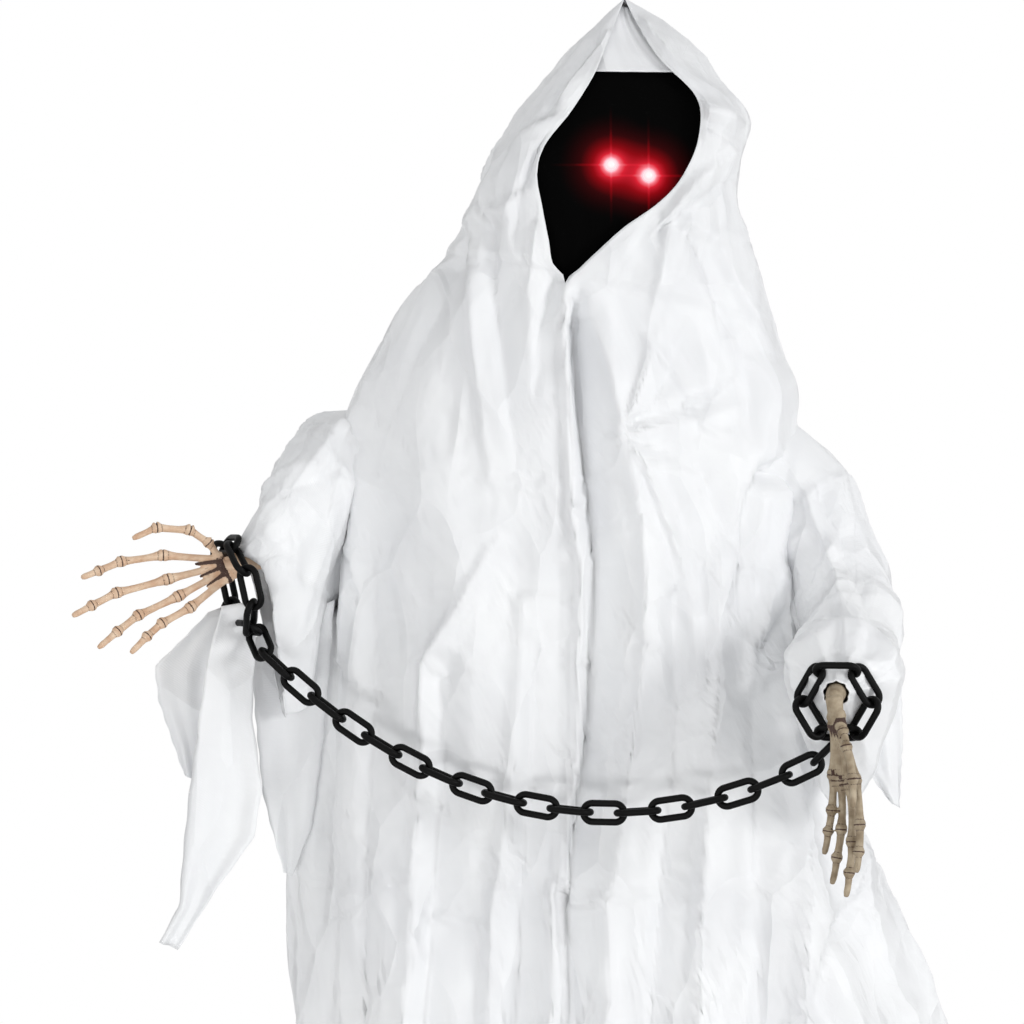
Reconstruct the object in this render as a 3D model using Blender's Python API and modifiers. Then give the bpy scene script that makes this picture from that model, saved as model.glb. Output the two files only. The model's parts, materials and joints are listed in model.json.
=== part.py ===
"""Standing ghost figure in a hooded robe, with skeleton hands tied by a plastic chain.

Metres, +Z up, the figure faces -Y. The origin is under the pole, on the floor.
The torso turns on the stand's pole, the head turns on a leaning neck shaft, and the chain swings
between the two wrists. Each named object is one separate piece of the figure.
"""

import math

import bmesh
import bpy
from mathutils import Matrix, Vector

# Shared clearances and small values
SEAT_GAP = 0.0003  # between two pieces that rest on each other
CUT_OVERRUN = 0.004  # how far a cutter runs past the wall that it cuts
WELD = 0.00001
SIDES = 16
FINE_SIDES = 24

# Stand: a hub on two bent tubes, each with a rubber foot at both ends
HUB_RADIUS = 0.056
HUB_HEIGHT = 0.030
HUB_TOP_CHAMFER = 0.006
COLLAR_RADIUS = 0.019
COLLAR_HEIGHT = 0.074
SOCKET_FLOOR = 0.008
LEG_RADIUS = 0.0095
LEG_VERTEX_OFFSET = 0.026  # from the pole's axis to the bend of a tube
LEG_REACH = 0.250
LEG_SPREAD = math.radians(42)  # from the fore-and-aft line
FOOT_WALL = 0.0036
FOOT_LENGTH = 0.034
FOOT_END_WALL = 0.004

# Pole in two lengths, held by a sprung button
POLE_RADIUS = 0.0125
POLE_WALL = 0.0014
POLE_TOP_HEIGHT = 1.120
POLE_JOINT_HEIGHT = POLE_TOP_HEIGHT / 2
SPIGOT_LENGTH = 0.060
SPIGOT_WALL = 0.0016
BUTTON_RADIUS = 0.0030
BUTTON_CHAMFER_SHARE = 0.4  # of its radius
BUTTON_PROUD = 0.0022
BUTTON_FLANGE_RADIUS = 0.0046
BUTTON_FLANGE = 0.0012
BUTTON_DROP = 0.030  # under the joint

# Torso case, in two shells that meet behind the pole's axis
CASE_WIDTH = 0.190
CASE_DEPTH = 0.104
CASE_DROP = 0.106  # from the pole's top
CASE_HEIGHT = 0.212
CASE_BOTTOM = POLE_TOP_HEIGHT - CASE_DROP
CASE_TOP = CASE_BOTTOM + CASE_HEIGHT
CASE_WALL = 0.003
CASE_CORNER = 0.014
CASE_CORNER_STEPS = 2
POLE_CUP_WALL = 0.003
POLE_CUP_DEPTH = 0.020
GRILLE_SLOTS = 5
GRILLE_SLOT_HEIGHT = 0.0035
GRILLE_SLOT_WIDTH = 0.040
GRILLE_PITCH = 0.0075
GRILLE_DROP = 0.061  # from the case's top
GRILLE_CENTRE = CASE_TOP - GRILLE_DROP
SPEAKER_RADIUS = 0.024
SPEAKER_RIM = 0.003
SPEAKER_MAGNET_RADIUS = 0.013
SPEAKER_DEPTH = 0.016
SHOULDER_BAR_RADIUS = 0.011
SHOULDER_BAR_DROP = 0.066  # from the case's top
SHOULDER_BAR_HEIGHT = CASE_TOP - SHOULDER_BAR_DROP
SHOULDER_BAR_SETBACK = 0.030  # behind the pole's axis
SHOULDER_BAR_HALF_LENGTH = 0.178

# Drives: a fixed gear on the pole, a sector on the neck shaft, and a motor and pinion for each
WAIST_MODULE = 0.0015
WAIST_TEETH = 36
NECK_MODULE = 0.00125
NECK_TEETH = 36
PINION_TEETH = 12
GEAR_WIDTH = 0.007
TOOTH_PLAY = 0.00045  # taken off the width of each tooth
ADDENDUM_SHARE = 0.85
DEDENDUM_SHARE = 1.20
TIP_HALF_SHARE = 0.545  # half widths of a tooth, as shares of a quarter pitch
ROOT_HALF_SHARE = 1.45
DRIVE_BEARING = math.radians(45)  # where the waist pinion stands, from +X
SHELF_CLEARANCE = 0.0010  # over the turning gear
WAIST_GEAR_RISE = 0.026  # from the case's underside
WAIST_GEAR_HEIGHT = CASE_BOTTOM + WAIST_GEAR_RISE
GEAR_HUB_WALL = 0.004
GEAR_HUB_HEIGHT = 0.006
MOTOR_RADIUS = 0.0135
MOTOR_LENGTH = 0.040
NECK_MOTOR_RADIUS = 0.0115
NECK_MOTOR_LENGTH = 0.026
MOTOR_BOSS_SHARE = 0.42  # of the motor's radius
MOTOR_BOSS = 0.0025
MOTOR_SHAFT_RADIUS = 0.0020
MOTOR_SHAFT = 0.013
BUSH_WALL = 0.0022
BUSH_FLANGE = 0.004
BUSH_FLANGE_THICKNESS = 0.002

# Battery door and switch on the back of the case
BATTERY_WIDTH = 0.064
BATTERY_HEIGHT = 0.044
BATTERY_DEPTH = 0.020
BATTERY_DROP = 0.104  # from the case's top
BATTERY_CENTRE = CASE_TOP - BATTERY_DROP
BATTERY_WALL = 0.002
DOOR_LAP = 0.003
DOOR_THICKNESS = 0.0022
RAIL_WIDTH = 0.003
RAIL_LIP = 0.0018
DOOR_GRIP_RIBS = 3
DOOR_GRIP_HEIGHT = 0.0012
SWITCH_OFFSET = 0.062
SWITCH_DROP = 0.076  # from the case's top
SWITCH_HEIGHT = CASE_TOP - SWITCH_DROP
SWITCH_TRAVEL = 0.006
SWITCH_STEM = 0.006
SWITCH_STEM_WIDTH = 0.005
SWITCH_KNOB = 0.011
SWITCH_KNOB_THICKNESS = 0.003
SWITCH_GROOVE_SHARE = 1 / 3  # of the knob's thickness
SWITCH_FLANGE_THICKNESS = 0.0016

# Neck and head, in the frame that leans with the neck
NECK_OFFSET = -0.010
NECK_RISE = 0.040  # from the case's top
NECK_HEIGHT = CASE_TOP + NECK_RISE
HEAD_LEAN = math.radians(12)
BRACKET_RADIUS = 0.048
BRACKET_WALL = 0.003
NECK_SHAFT_RADIUS = 0.006
NECK_SHAFT_TOP = 0.120
NECK_SHAFT_FOOT = 0.020
SHAFT_COLLAR_RADIUS = 0.011
SHAFT_COLLAR = 0.005
HEAD_HALF_WIDTH = 0.072
HEAD_HALF_DEPTH = 0.080
HEAD_HALF_HEIGHT = 0.094
HEAD_ACROSS = 0.028
HEAD_FORWARD = 0.025
HEAD_CENTRE_HEIGHT = 0.166
HEAD_WALL = 0.003
HEAD_STEPS = 10
HEAD_SIDES = 20
EYE_RADIUS = 0.0055
EYE_SPACING = 0.0395
EYE_ACROSS = 0.034
EYE_LEVEL = 0.1595
EYE_TILT = math.radians(4)
EYE_TIP = 0.118  # in front of the neck's axis
EYE_LENGTH = 0.034

# Robe and hood, one row of sizes for each height
CLOTH = 0.0016
HOOD_HEIGHT = 0.337
HOOD_HALF_WIDTH = 0.150
HOOD_HALF_DEPTH = 0.130
HOOD_COLUMNS = 28
HEM_HEIGHT = 0.066  # over the floor, where the robe's shares reach 1
ROBE_DROP = NECK_HEIGHT - HEM_HEIGHT
ROBE_HALF_WIDTH = 0.300
ROBE_HALF_DEPTH = 0.150
ROBE_COLUMNS = 36
SEAM_ACROSS = -0.006
FULLNESS = 0.85
SKIRT_FOLD = 0.020
FRONT_VALLEY = 0.022
VALLEY_WIDTH_SHARE = 0.035
SKIRT_FOLDS = 9
SECOND_FOLDS = 5
FIRST_FOLD_SHARE = 2 / 3
SECOND_FOLD_SHARE = 1 / 3
HEM_TATTER = 0.050
HEM_SHARES = (0.5, 0.3, 0.2)  # mean depth of the tatters, and of the two waves that vary it
HEM_WAVE_STEP = 1.7  # radians of the second wave to a column
VEIL_LAP = 0.006  # behind the rim on both sides
VEIL_SETBACK = 0.014
VEIL_STEPS = 8

# height, left, right, left rim, right rim, front, widest, back, as shares of the hood's sizes
HOOD_ROW_SHARES = (
    (0.1025, -0.91, 1.47, -0.040, -0.040, -1.00, 0.05, 1.00),
    (0.150, -0.88, 1.42, -0.150, 0.030, -1.02, 0.05, 1.00),
    (0.215, -0.83, 1.34, -0.210, 0.130, -1.02, 0.05, 0.98),
    (0.300, -0.79, 1.24, -0.290, 0.270, -1.00, 0.05, 0.96),
    (0.400, -0.74, 1.10, -0.375, 0.470, -0.97, 0.05, 0.93),
    (0.490, -0.69, 1.00, -0.367, 0.580, -0.94, 0.05, 0.88),
    (0.610, -0.61, 0.97, -0.240, 0.630, -0.89, 0.03, 0.80),
    (0.730, -0.47, 0.95, -0.145, 0.560, -0.82, 0.00, 0.65),
    (0.830, -0.35, 0.72, -0.105, 0.260, -0.70, -0.05, 0.42),
    (0.930, -0.17, 0.45, -0.072, 0.060, -0.55, -0.15, 0.10),
)
APEX_SHARES = (1.0, -0.047, -0.40)  # height, across, forward

# drop, tilt, left, right, front, widest, back, fold, as shares of the robe's sizes
ROBE_ROW_SHARES = (
    (-0.028, 1.00, -0.457, 0.740, -0.867, 0.05, 0.867, 0.00),
    (0.010, 0.80, -0.567, 0.800, -0.880, 0.05, 0.880, 0.05),
    (0.042, 0.50, -0.627, 0.810, -0.890, 0.04, 0.885, 0.10),
    (0.075, 0.25, -0.707, 0.815, -0.900, 0.03, 0.893, 0.14),
    (0.125, 0.00, -0.760, 0.820, -0.920, 0.02, 0.920, 0.20),
    (0.210, 0.00, -0.770, 0.800, -0.945, 0.00, 0.960, 0.30),
    (0.300, 0.00, -0.820, 0.830, -0.980, 0.00, 1.030, 0.42),
    (0.400, 0.00, -0.880, 0.980, -1.030, 0.00, 1.100, 0.56),
    (0.510, 0.00, -0.915, 1.130, -1.090, 0.00, 1.180, 0.70),
    (0.640, 0.00, -0.930, 1.290, -1.180, 0.00, 1.280, 0.84),
    (0.780, 0.00, -0.960, 1.340, -1.300, 0.00, 1.420, 0.94),
    (0.900, 0.00, -1.000, 1.370, -1.420, 0.00, 1.550, 1.00),
    (0.985, 0.00, -1.040, 1.400, -1.530, 0.00, 1.660, 1.00),
)

# Sleeves: place of each ring's centre, its direction, and how far it reaches up, down and sideways
SLEEVE_LENGTH = 0.200
SLEEVE_COLUMNS = 18
SLEEVE_TATTER = 0.225
SLEEVE_CLEARANCE = 0.0006
ARMHOLE_DEPTH = 0.040  # the armholes are cut from this far inside the sleeves' ends
LEFT_SLEEVE_DROP = 0.040  # from the shoulder bar
RIGHT_SLEEVE_DROP = 0.042
SLEEVE_ACROSS = 0.196
LEFT_SLEEVE_START = (-SLEEVE_ACROSS, 0.0, SHOULDER_BAR_HEIGHT - LEFT_SLEEVE_DROP)
RIGHT_SLEEVE_START = (SLEEVE_ACROSS, 0.0, SHOULDER_BAR_HEIGHT - RIGHT_SLEEVE_DROP)
LEFT_SLEEVE_SHARES = (
    ((0.000, 0.000, 0.000), (-1.0, -0.10, -0.25), 0.29, 0.36, 0.34),
    ((-0.210, -0.050, -0.060), (-1.0, -0.35, -0.40), 0.33, 0.43, 0.33),
    ((-0.400, -0.330, -0.250), (-0.9, -0.70, -0.15), 0.34, 0.62, 0.24),
    ((-0.505, -0.540, -0.440), (-0.9, -0.45, -0.22), 0.30, 0.76, 0.18),
    ((-0.602, -0.600, -0.498), (-0.9, -0.33, -0.16), 0.20, 0.78, 0.14),
)
RIGHT_SLEEVE_SHARES = (
    ((0.000, 0.000, 0.000), (0.85, -0.10, -0.45), 0.29, 0.38, 0.34),
    ((0.250, -0.060, -0.240), (0.60, -0.40, -0.70), 0.27, 0.40, 0.28),
    ((0.430, -0.400, -0.780), (0.10, -0.90, -0.45), 0.27, 0.55, 0.23),
    ((0.370, -0.780, -0.960), (-0.20, -1.00, -0.15), 0.22, 0.66, 0.21),
    ((0.300, -1.150, -1.025), (-0.20, -1.00, -0.15), 0.18, 0.68, 0.18),
)
LEFT_TATTER_SHARES = (0, 0, 0, 0, 0, 0.02, 0.04, 0.60, 0.12, 0.98, 0.14, 0.66, 0.10, 0.05, 0, 0, 0, 0)
RIGHT_TATTER_SHARES = (0, 0, 0, 0, 0.05, 0.10, 0.02, 0.16, 0.04, 0.20, 0.03, 0.15, 0.02, 0.10, 0.02, 0, 0, 0)
SLEEVE_NARROW_SHARE = 0.5  # of its width, towards a sleeve's lower edge
SLEEVE_SWING = 0.032  # a sleeve's lower edge hangs this far behind its arm
LEFT_TATTER_DIRECTION = (-0.38, 0.05, -1.00)
RIGHT_TATTER_DIRECTION = (0.05, 0.05, -1.00)

# Arms and hands
ARM_RADIUS = 0.0055
ARM_PLUG = 0.050  # how far an arm reaches into the shoulder bar
HAND_LENGTH = 0.180
KNUCKLE_RADIUS = 0.0058
SHAFT_RADIUS_SHARE = 0.64  # of a knuckle
SHAFT_LENGTH_SHARES = (0.22, 0.75)  # where a bone's slim shaft starts and ends
TIP_RADIUS_SHARE = 0.40
PALM_WIDTH = 0.046
PALM_THICKNESS = 0.020
PALM_LENGTH = 0.044
PALM_START = 0.007  # beyond the wrist
STUB_RADIUS = 0.0105
STUB_LENGTH = 0.046
STUB_SOCKET = 0.020
STRAIGHT_ARM = 0.012  # an arm runs straight for this much before its hand
WRIST_ACROSS = 0.345
WRIST_FORWARD = 0.130
WRIST_DROP = 0.144  # from the shoulder bar
LEFT_WRIST = (-WRIST_ACROSS, -WRIST_FORWARD, SHOULDER_BAR_HEIGHT - WRIST_DROP)
LEFT_FOREARM = (-0.915, -0.33, -0.22)
RIGHT_FOREARM = (-0.20, -1.0, -0.15)
LEFT_HAND_DIRECTION = (-0.915, -0.33, -0.22)
RIGHT_HAND_DIRECTION = (0.03, -0.10, -1.0)
LEFT_PALM_NORMAL = (-0.33, -0.90, 0.05)
RIGHT_PALM_NORMAL = (-0.80, -0.60, 0.0)
LEFT_THUMB_SIDE = -1
RIGHT_THUMB_SIDE = 1

# fingers: shares of the hand's length, along the hand, across it and towards the palm
FINGER_SHARES = {
    "thumb": ((0.10, 0.05, 0.00), (0.14, 0.16, 0.03), (0.22, 0.255, 0.06), (0.395, 0.325, 0.07),
              (0.54, 0.305, 0.08)),
    "index": ((0.09, 0.05, 0.00), (0.397, 0.184, -0.02), (0.635, 0.219, 0.00), (0.775, 0.203, 0.02),
              (0.878, 0.19, 0.05)),
    "middle": ((0.09, 0.02, 0.00), (0.416, 0.048, -0.03), (0.72, 0.059, 0.00), (0.88, 0.027, 0.03),
               (1.0, 0.0, 0.06)),
    "ring": ((0.09, -0.01, 0.00), (0.394, -0.064, -0.02), (0.65, -0.10, 0.00), (0.795, -0.156, 0.03),
             (0.928, -0.214, 0.06)),
    "little": ((0.09, -0.05, 0.00), (0.359, -0.15, 0.00), (0.545, -0.188, 0.02), (0.652, -0.236, 0.04),
               (0.769, -0.298, 0.06)),
}
LEFT_SPREAD_SHARE = 1.0
RIGHT_SPREAD_SHARE = 0.60
LEFT_CURL_SHARE = 1.0
RIGHT_CURL_SHARE = 1.6

# Chain
LINK_LENGTH = 0.0475
LINK_WIDTH = 0.0250
WIRE_RADIUS = 0.0034
LINK_GAP = 0.0003
TIE_GAP = 0.0008  # lets the chain swing in the links that tie it
CHAIN_LINKS = 18
CHAIN_SPAN = 0.554  # over the floor, between the ties
CURVE_LIMIT_SHARES = (0.01, 100)  # of the span, for the scale of the curve that the chain hangs in
CURVE_TRIES = 80
CHAIN_FALL = 0.100  # from the left tie to the right one
CHAIN_BEARING = math.radians(-12)  # of the chain's plane, from +X
TIE_LEAN = math.radians(38)  # of the left tie, forwards
LEFT_TIE_SLOPE = math.radians(-62)
RIGHT_TIE_SLOPE = math.radians(45)
LINK_ARC_STEPS = 5
WIRE_SIDES = 6
LEFT_WRAP_LINKS = 8
RIGHT_WRAP_LINKS = 6
WRAP_LAP = 0.0010  # links of a wrist loop are moulded into each other by this much
LEFT_WRAP_OFFSET = 0.003  # from the wrist, up the arm
RIGHT_WRAP_OFFSET = 0.030
WRAP_TWIST = math.radians(45)
PITCH_RADIUS = LINK_WIDTH / 2 - WIRE_RADIUS
ARC_OFFSET = (LINK_LENGTH - LINK_WIDTH) / 2


# Collections and small helpers

def start_scene():
    for thing in list(bpy.data.objects):
        bpy.data.objects.remove(thing, do_unlink=True)
    figure = bpy.data.collections.new("ghost_figure")
    cutters = bpy.data.collections.new("cutters")
    for collection in (figure, cutters):
        bpy.context.scene.collection.children.link(collection)
    return figure, cutters


FIGURE, CUTTERS = start_scene()


def material(name, colour, roughness, metallic=0.0):
    finish = bpy.data.materials.new(name)
    finish.use_nodes = True
    shader = finish.node_tree.nodes["Principled BSDF"]
    shader.inputs["Base Color"].default_value = (*colour, 1.0)
    shader.inputs["Roughness"].default_value = roughness
    shader.inputs["Metallic"].default_value = metallic
    return finish


def place(thing, parent, matrix):
    thing.parent = parent
    thing.matrix_local = matrix
    return thing


def pivot(name, matrix, parent=None):
    empty = bpy.data.objects.new(name, None)
    FIGURE.objects.link(empty)
    return place(empty, parent, matrix)


def part(name, mesh, parent, matrix, finish):
    thing = bpy.data.objects.new(name, mesh)
    FIGURE.objects.link(thing)
    mesh.materials.clear()
    mesh.materials.append(finish)
    return place(thing, parent, matrix)


def cutter(name, mesh, parent, matrix):
    thing = bpy.data.objects.new(name, mesh)
    CUTTERS.objects.link(thing)
    thing.hide_render = True
    thing.display_type = "WIRE"
    return place(thing, parent, matrix)


def boolean(thing, other, operation):
    step = thing.modifiers.new(other.name, "BOOLEAN")
    step.operation = operation
    step.object = other
    step.solver = "EXACT"


def cut(thing, other):
    boolean(thing, other, "DIFFERENCE")


def join(thing, other):
    boolean(thing, other, "UNION")


def shift(x=0.0, y=0.0, z=0.0):
    return Matrix.Translation((x, y, z))


def axes(origin, forward, up):
    """Matrix whose +Z runs along forward and whose +Y leans towards up."""
    along = Vector(forward).normalized()
    upward = Vector(up)
    upward = (upward - along * upward.dot(along)).normalized()
    across = upward.cross(along)
    matrix = Matrix((across, upward, along)).transposed().to_4x4()
    matrix.translation = Vector(origin)
    return matrix


def mesh_from(name, build, smooth=True):
    """Mesh filled by build(bmesh), with sharp edges kept where faces turn by more than 40 degrees."""
    form = bmesh.new()
    build(form)
    bmesh.ops.recalc_face_normals(form, faces=form.faces)
    mesh = bpy.data.meshes.new(name)
    form.to_mesh(mesh)
    form.free()
    if smooth:
        mesh.shade_smooth()
        mesh.set_sharp_from_angle(angle=math.radians(40))
    return mesh


def baked(thing):
    """Plain mesh of an object with its modifiers done, in the object's own frame."""
    bpy.context.view_layer.update()
    graph = bpy.context.evaluated_depsgraph_get()
    mesh = bpy.data.meshes.new_from_object(thing.evaluated_get(graph))
    form = bmesh.new()
    form.from_mesh(mesh)
    bmesh.ops.remove_doubles(form, verts=form.verts, dist=WELD)
    form.to_mesh(mesh)
    form.free()
    mesh.name = thing.name
    return mesh


def box_mesh(name, width, depth, height, corner=0.0, steps=1):
    def build(form):
        bmesh.ops.create_cube(form, size=1.0)
        bmesh.ops.scale(form, vec=(width, depth, height), verts=form.verts)
        if corner:
            upright = [edge for edge in form.edges
                       if abs(edge.verts[0].co.z - edge.verts[1].co.z) > height / 2]
            bmesh.ops.bevel(form, geom=upright, offset=corner, segments=steps, profile=0.5, affect="EDGES")
    return mesh_from(name, build)


def cylinder_mesh(name, radius, bottom, top, sides=SIDES):
    def build(form):
        bmesh.ops.create_cone(form, cap_ends=True, segments=sides, radius1=radius, radius2=radius,
                              depth=top - bottom)
        bmesh.ops.translate(form, vec=(0, 0, (top + bottom) / 2), verts=form.verts)
    return mesh_from(name, build)


def turned_mesh(name, profile, sides=SIDES, closed=False):
    """Revolved profile of (radius, height) points, from the top of its outer side downwards."""
    mesh = bpy.data.meshes.new(name)
    points = [(radius, 0.0, height) for radius, height in profile]
    edges = [(index, index + 1) for index in range(len(points) - 1)]
    if closed:
        edges.append((len(points) - 1, 0))
    mesh.from_pydata(points, edges, [])
    thing = bpy.data.objects.new(name, mesh)
    CUTTERS.objects.link(thing)
    screw = thing.modifiers.new("turn", "SCREW")
    screw.angle = math.tau
    screw.steps = sides
    screw.render_steps = sides
    screw.use_merge_vertices = True
    screw.merge_threshold = WELD
    screw.use_smooth_shade = True
    result = baked(thing)
    bpy.data.objects.remove(thing)
    result.shade_smooth()
    result.set_sharp_from_angle(angle=math.radians(40))
    return result


def tube_mesh(name, points, radii, sides=8):
    """Round bar along points, with its own radius at each point and filled caps."""
    curve = bpy.data.curves.new(name, "CURVE")
    curve.dimensions = "3D"
    curve.bevel_depth = 1.0
    curve.bevel_resolution = (sides - 4) // 2
    curve.use_fill_caps = True
    spline = curve.splines.new("POLY")
    spline.points.add(len(points) - 1)
    for knot, point, radius in zip(spline.points, points, radii):
        knot.co = (*point, 1.0)
        knot.radius = radius
    thing = bpy.data.objects.new(name, curve)
    CUTTERS.objects.link(thing)
    mesh = baked(thing)
    bpy.data.objects.remove(thing)
    return mesh


def lofted_mesh(name, rows, closed, tip=None):
    """Open sheet through rows of equal length, closed round each row or not, up to one tip point."""
    def build(form):
        loops = [[form.verts.new(point) for point in row] for row in rows]
        for low, high in zip(loops, loops[1:]):
            count = len(low) if closed else len(low) - 1
            for index in range(count):
                after = (index + 1) % len(low)
                form.faces.new((low[index], low[after], high[after], high[index]))
        if tip is not None:
            top = form.verts.new(tip)
            for index in range(len(loops[-1]) - 1):
                form.faces.new((loops[-1][index], loops[-1][index + 1], top))
    return mesh_from(name, build)


def give_thickness(thing, thickness, inwards=True):
    wall = thing.modifiers.new("thickness", "SOLIDIFY")
    wall.thickness = thickness
    wall.offset = -1.0 if inwards else 1.0
    wall.use_even_offset = False


# Finishes
WHITE_CLOTH = material("white_satin_cloth", (0.86, 0.87, 0.88), 0.45)
BLACK_CLOTH = material("black_veil_cloth", (0.008, 0.008, 0.008), 0.95)
BONE = material("bone_plastic", (0.45, 0.31, 0.21), 0.6)
CHAIN_PLASTIC = material("black_chain_plastic", (0.012, 0.012, 0.012), 0.35)
BLACK_PLASTIC = material("black_moulded_plastic", (0.02, 0.02, 0.02), 0.5)
RUBBER = material("black_rubber", (0.015, 0.015, 0.015), 0.9)
STEEL = material("painted_steel_tube", (0.03, 0.03, 0.03), 0.4)
WHITE_NYLON = material("white_nylon", (0.75, 0.74, 0.70), 0.5)
MOTOR_STEEL = material("motor_steel", (0.6, 0.6, 0.6), 0.35, 1.0)
RED_LENS = material("red_lens", (0.8, 0.01, 0.01), 0.15)


# Stand

def leg_points(direction):
    """Centre line of one bent tube; direction is -1 at the front and +1 at the back."""
    height = LEG_RADIUS + FOOT_WALL
    across = LEG_REACH * math.sin(LEG_SPREAD)
    away = LEG_REACH * math.cos(LEG_SPREAD)
    bend = LEG_RADIUS * 2
    corner = Vector((0.0, direction * LEG_VERTEX_OFFSET, height))
    ends = [Vector((side * across, direction * away, height)) for side in (-1, 1)]
    shoulders = [corner + (end - corner).normalized() * bend for end in ends]
    middle = corner.lerp((shoulders[0] + shoulders[1]) / 2, 1 / 2)
    return [ends[0], shoulders[0], middle, shoulders[1], ends[1]]


def tube_through(points, radius):
    return tube_mesh("tube", points, [radius] * len(points), sides=12)


def build_stand():
    """Hub, bent tubes and feet."""
    hub = part("base_hub", turned_mesh("base_hub", (
        (0.0, SOCKET_FLOOR), (POLE_RADIUS + SEAT_GAP, SOCKET_FLOOR),
        (POLE_RADIUS + SEAT_GAP, COLLAR_HEIGHT), (COLLAR_RADIUS, COLLAR_HEIGHT),
        (COLLAR_RADIUS, HUB_HEIGHT), (HUB_RADIUS - HUB_TOP_CHAMFER, HUB_HEIGHT),
        (HUB_RADIUS, HUB_HEIGHT - HUB_TOP_CHAMFER), (HUB_RADIUS, 0.0), (0.0, 0.0)), FINE_SIDES),
        STAND, Matrix(), BLACK_PLASTIC)
    for name, direction in (("front", -1), ("rear", 1)):
        points = leg_points(direction)
        part("base_tube_" + name, tube_through(points, LEG_RADIUS), STAND, Matrix(), STEEL)
        cut(hub, cutter("bore_" + name, tube_through(points, LEG_RADIUS + SEAT_GAP), STAND, Matrix()))
        for side, end, inner in (("left", points[0], points[1]), ("right", points[-1], points[-2])):
            outward = (end - inner).normalized()
            build_foot("foot_" + name + "_" + side, end, outward)


def build_foot(name, end, outward):
    """Rubber cap on the end of a tube, with one flat of its outer side on the floor."""
    flat = math.cos(math.pi / SIDES)
    outer = (LEG_RADIUS + FOOT_WALL) / flat
    inner = LEG_RADIUS + SEAT_GAP
    mouth = SEAT_GAP + FOOT_END_WALL - FOOT_LENGTH
    mesh = turned_mesh(name, (
        (0.0, FOOT_END_WALL + SEAT_GAP), (outer, FOOT_END_WALL + SEAT_GAP), (outer, mouth),
        (inner / flat, mouth), (inner / flat, SEAT_GAP), (0.0, SEAT_GAP)), SIDES)
    mesh.transform(Matrix.Rotation(math.pi / SIDES, 4, "Z"))
    part(name, mesh, STAND, axes(end, outward, (0, 0, 1)), RUBBER)


def pipe_profile(radius, wall, bottom, top):
    return ((radius, top), (radius, bottom), (radius - wall, bottom), (radius - wall, top))


def build_pole():
    """Two lengths of tube; the upper one has a spigot with a sprung button."""
    foot = SOCKET_FLOOR + SEAT_GAP
    lower = part("pole_lower", turned_mesh("pole_lower", pipe_profile(
        POLE_RADIUS, POLE_WALL, foot, POLE_JOINT_HEIGHT), SIDES, closed=True), STAND, Matrix(), STEEL)
    spigot = POLE_RADIUS - POLE_WALL - SEAT_GAP
    bore = spigot - SPIGOT_WALL
    start = POLE_JOINT_HEIGHT + SEAT_GAP
    upper = part("pole_upper", turned_mesh("pole_upper", (
        (POLE_RADIUS, POLE_TOP_HEIGHT), (POLE_RADIUS, start), (spigot, start),
        (spigot, start - SPIGOT_LENGTH), (bore, start - SPIGOT_LENGTH), (bore, POLE_TOP_HEIGHT)),
        SIDES, closed=True), STAND, Matrix(), STEEL)
    sideways = axes((0, 0, POLE_JOINT_HEIGHT - BUTTON_DROP), (0, 1, 0), (0, 0, 1))
    hole = cylinder_mesh("button_hole", BUTTON_RADIUS + SEAT_GAP, 0.0, POLE_RADIUS + CUT_OVERRUN)
    cut(lower, cutter("button_hole_lower", hole, STAND, sideways))
    cut(upper, cutter("button_hole_upper", hole, STAND, sideways))
    seat = bore * math.cos(math.pi / SIDES) - SEAT_GAP * 2
    flange = math.sqrt(seat ** 2 - BUTTON_FLANGE_RADIUS ** 2)
    tip = POLE_RADIUS + BUTTON_PROUD
    chamfer = BUTTON_RADIUS * BUTTON_CHAMFER_SHARE
    button = turned_mesh("pole_button", (
        (0.0, tip), (BUTTON_RADIUS - chamfer, tip), (BUTTON_RADIUS, tip - chamfer),
        (BUTTON_RADIUS, flange), (BUTTON_FLANGE_RADIUS, flange),
        (BUTTON_FLANGE_RADIUS, flange - BUTTON_FLANGE), (0.0, flange - BUTTON_FLANGE)), SIDES)
    part("pole_button", button, STAND, sideways, MOTOR_STEEL)


# Gears

def gear_mesh(name, module, teeth, width, bore, bottom=0.0, hub=True):
    """Straight gear with tapered teeth round a bore; its first tooth points along +X."""
    pitch_radius = module * teeth / 2
    quarter = math.pi * module / 4
    root = pitch_radius - module * DEDENDUM_SHARE
    tip = pitch_radius + module * ADDENDUM_SHARE
    root_angle = (quarter * ROOT_HALF_SHARE - TOOTH_PLAY / 2) / root
    tip_angle = (quarter * TIP_HALF_SHARE - TOOTH_PLAY / 2) / tip
    flank = ((root, -root_angle), (tip, -tip_angle), (tip, tip_angle), (root, root_angle))

    def build(form):
        outline = []
        for tooth in range(teeth):
            middle = math.tau * tooth / teeth
            outline += [(radius * math.cos(middle + angle), radius * math.sin(middle + angle))
                        for radius, angle in flank]
        rim = [form.verts.new((x, y, bottom)) for x, y in outline]
        hole = [form.verts.new((bore * math.cos(math.tau * step / FINE_SIDES),
                                bore * math.sin(math.tau * step / FINE_SIDES), bottom))
                for step in range(FINE_SIDES)]
        edges = []
        for loop in (rim, hole):
            edges += [form.edges.new((loop[index], loop[(index + 1) % len(loop)]))
                      for index in range(len(loop))]
        filled = bmesh.ops.triangle_fill(form, edges=edges, use_beauty=True, normal=(0, 0, 1))
        faces = [item for item in filled["geom"] if isinstance(item, bmesh.types.BMFace)]
        raised = bmesh.ops.extrude_face_region(form, geom=faces)
        top = [item for item in raised["geom"] if isinstance(item, bmesh.types.BMVert)]
        bmesh.ops.translate(form, vec=(0, 0, width), verts=top)
    return mesh_from(name, build, smooth=False)


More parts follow.
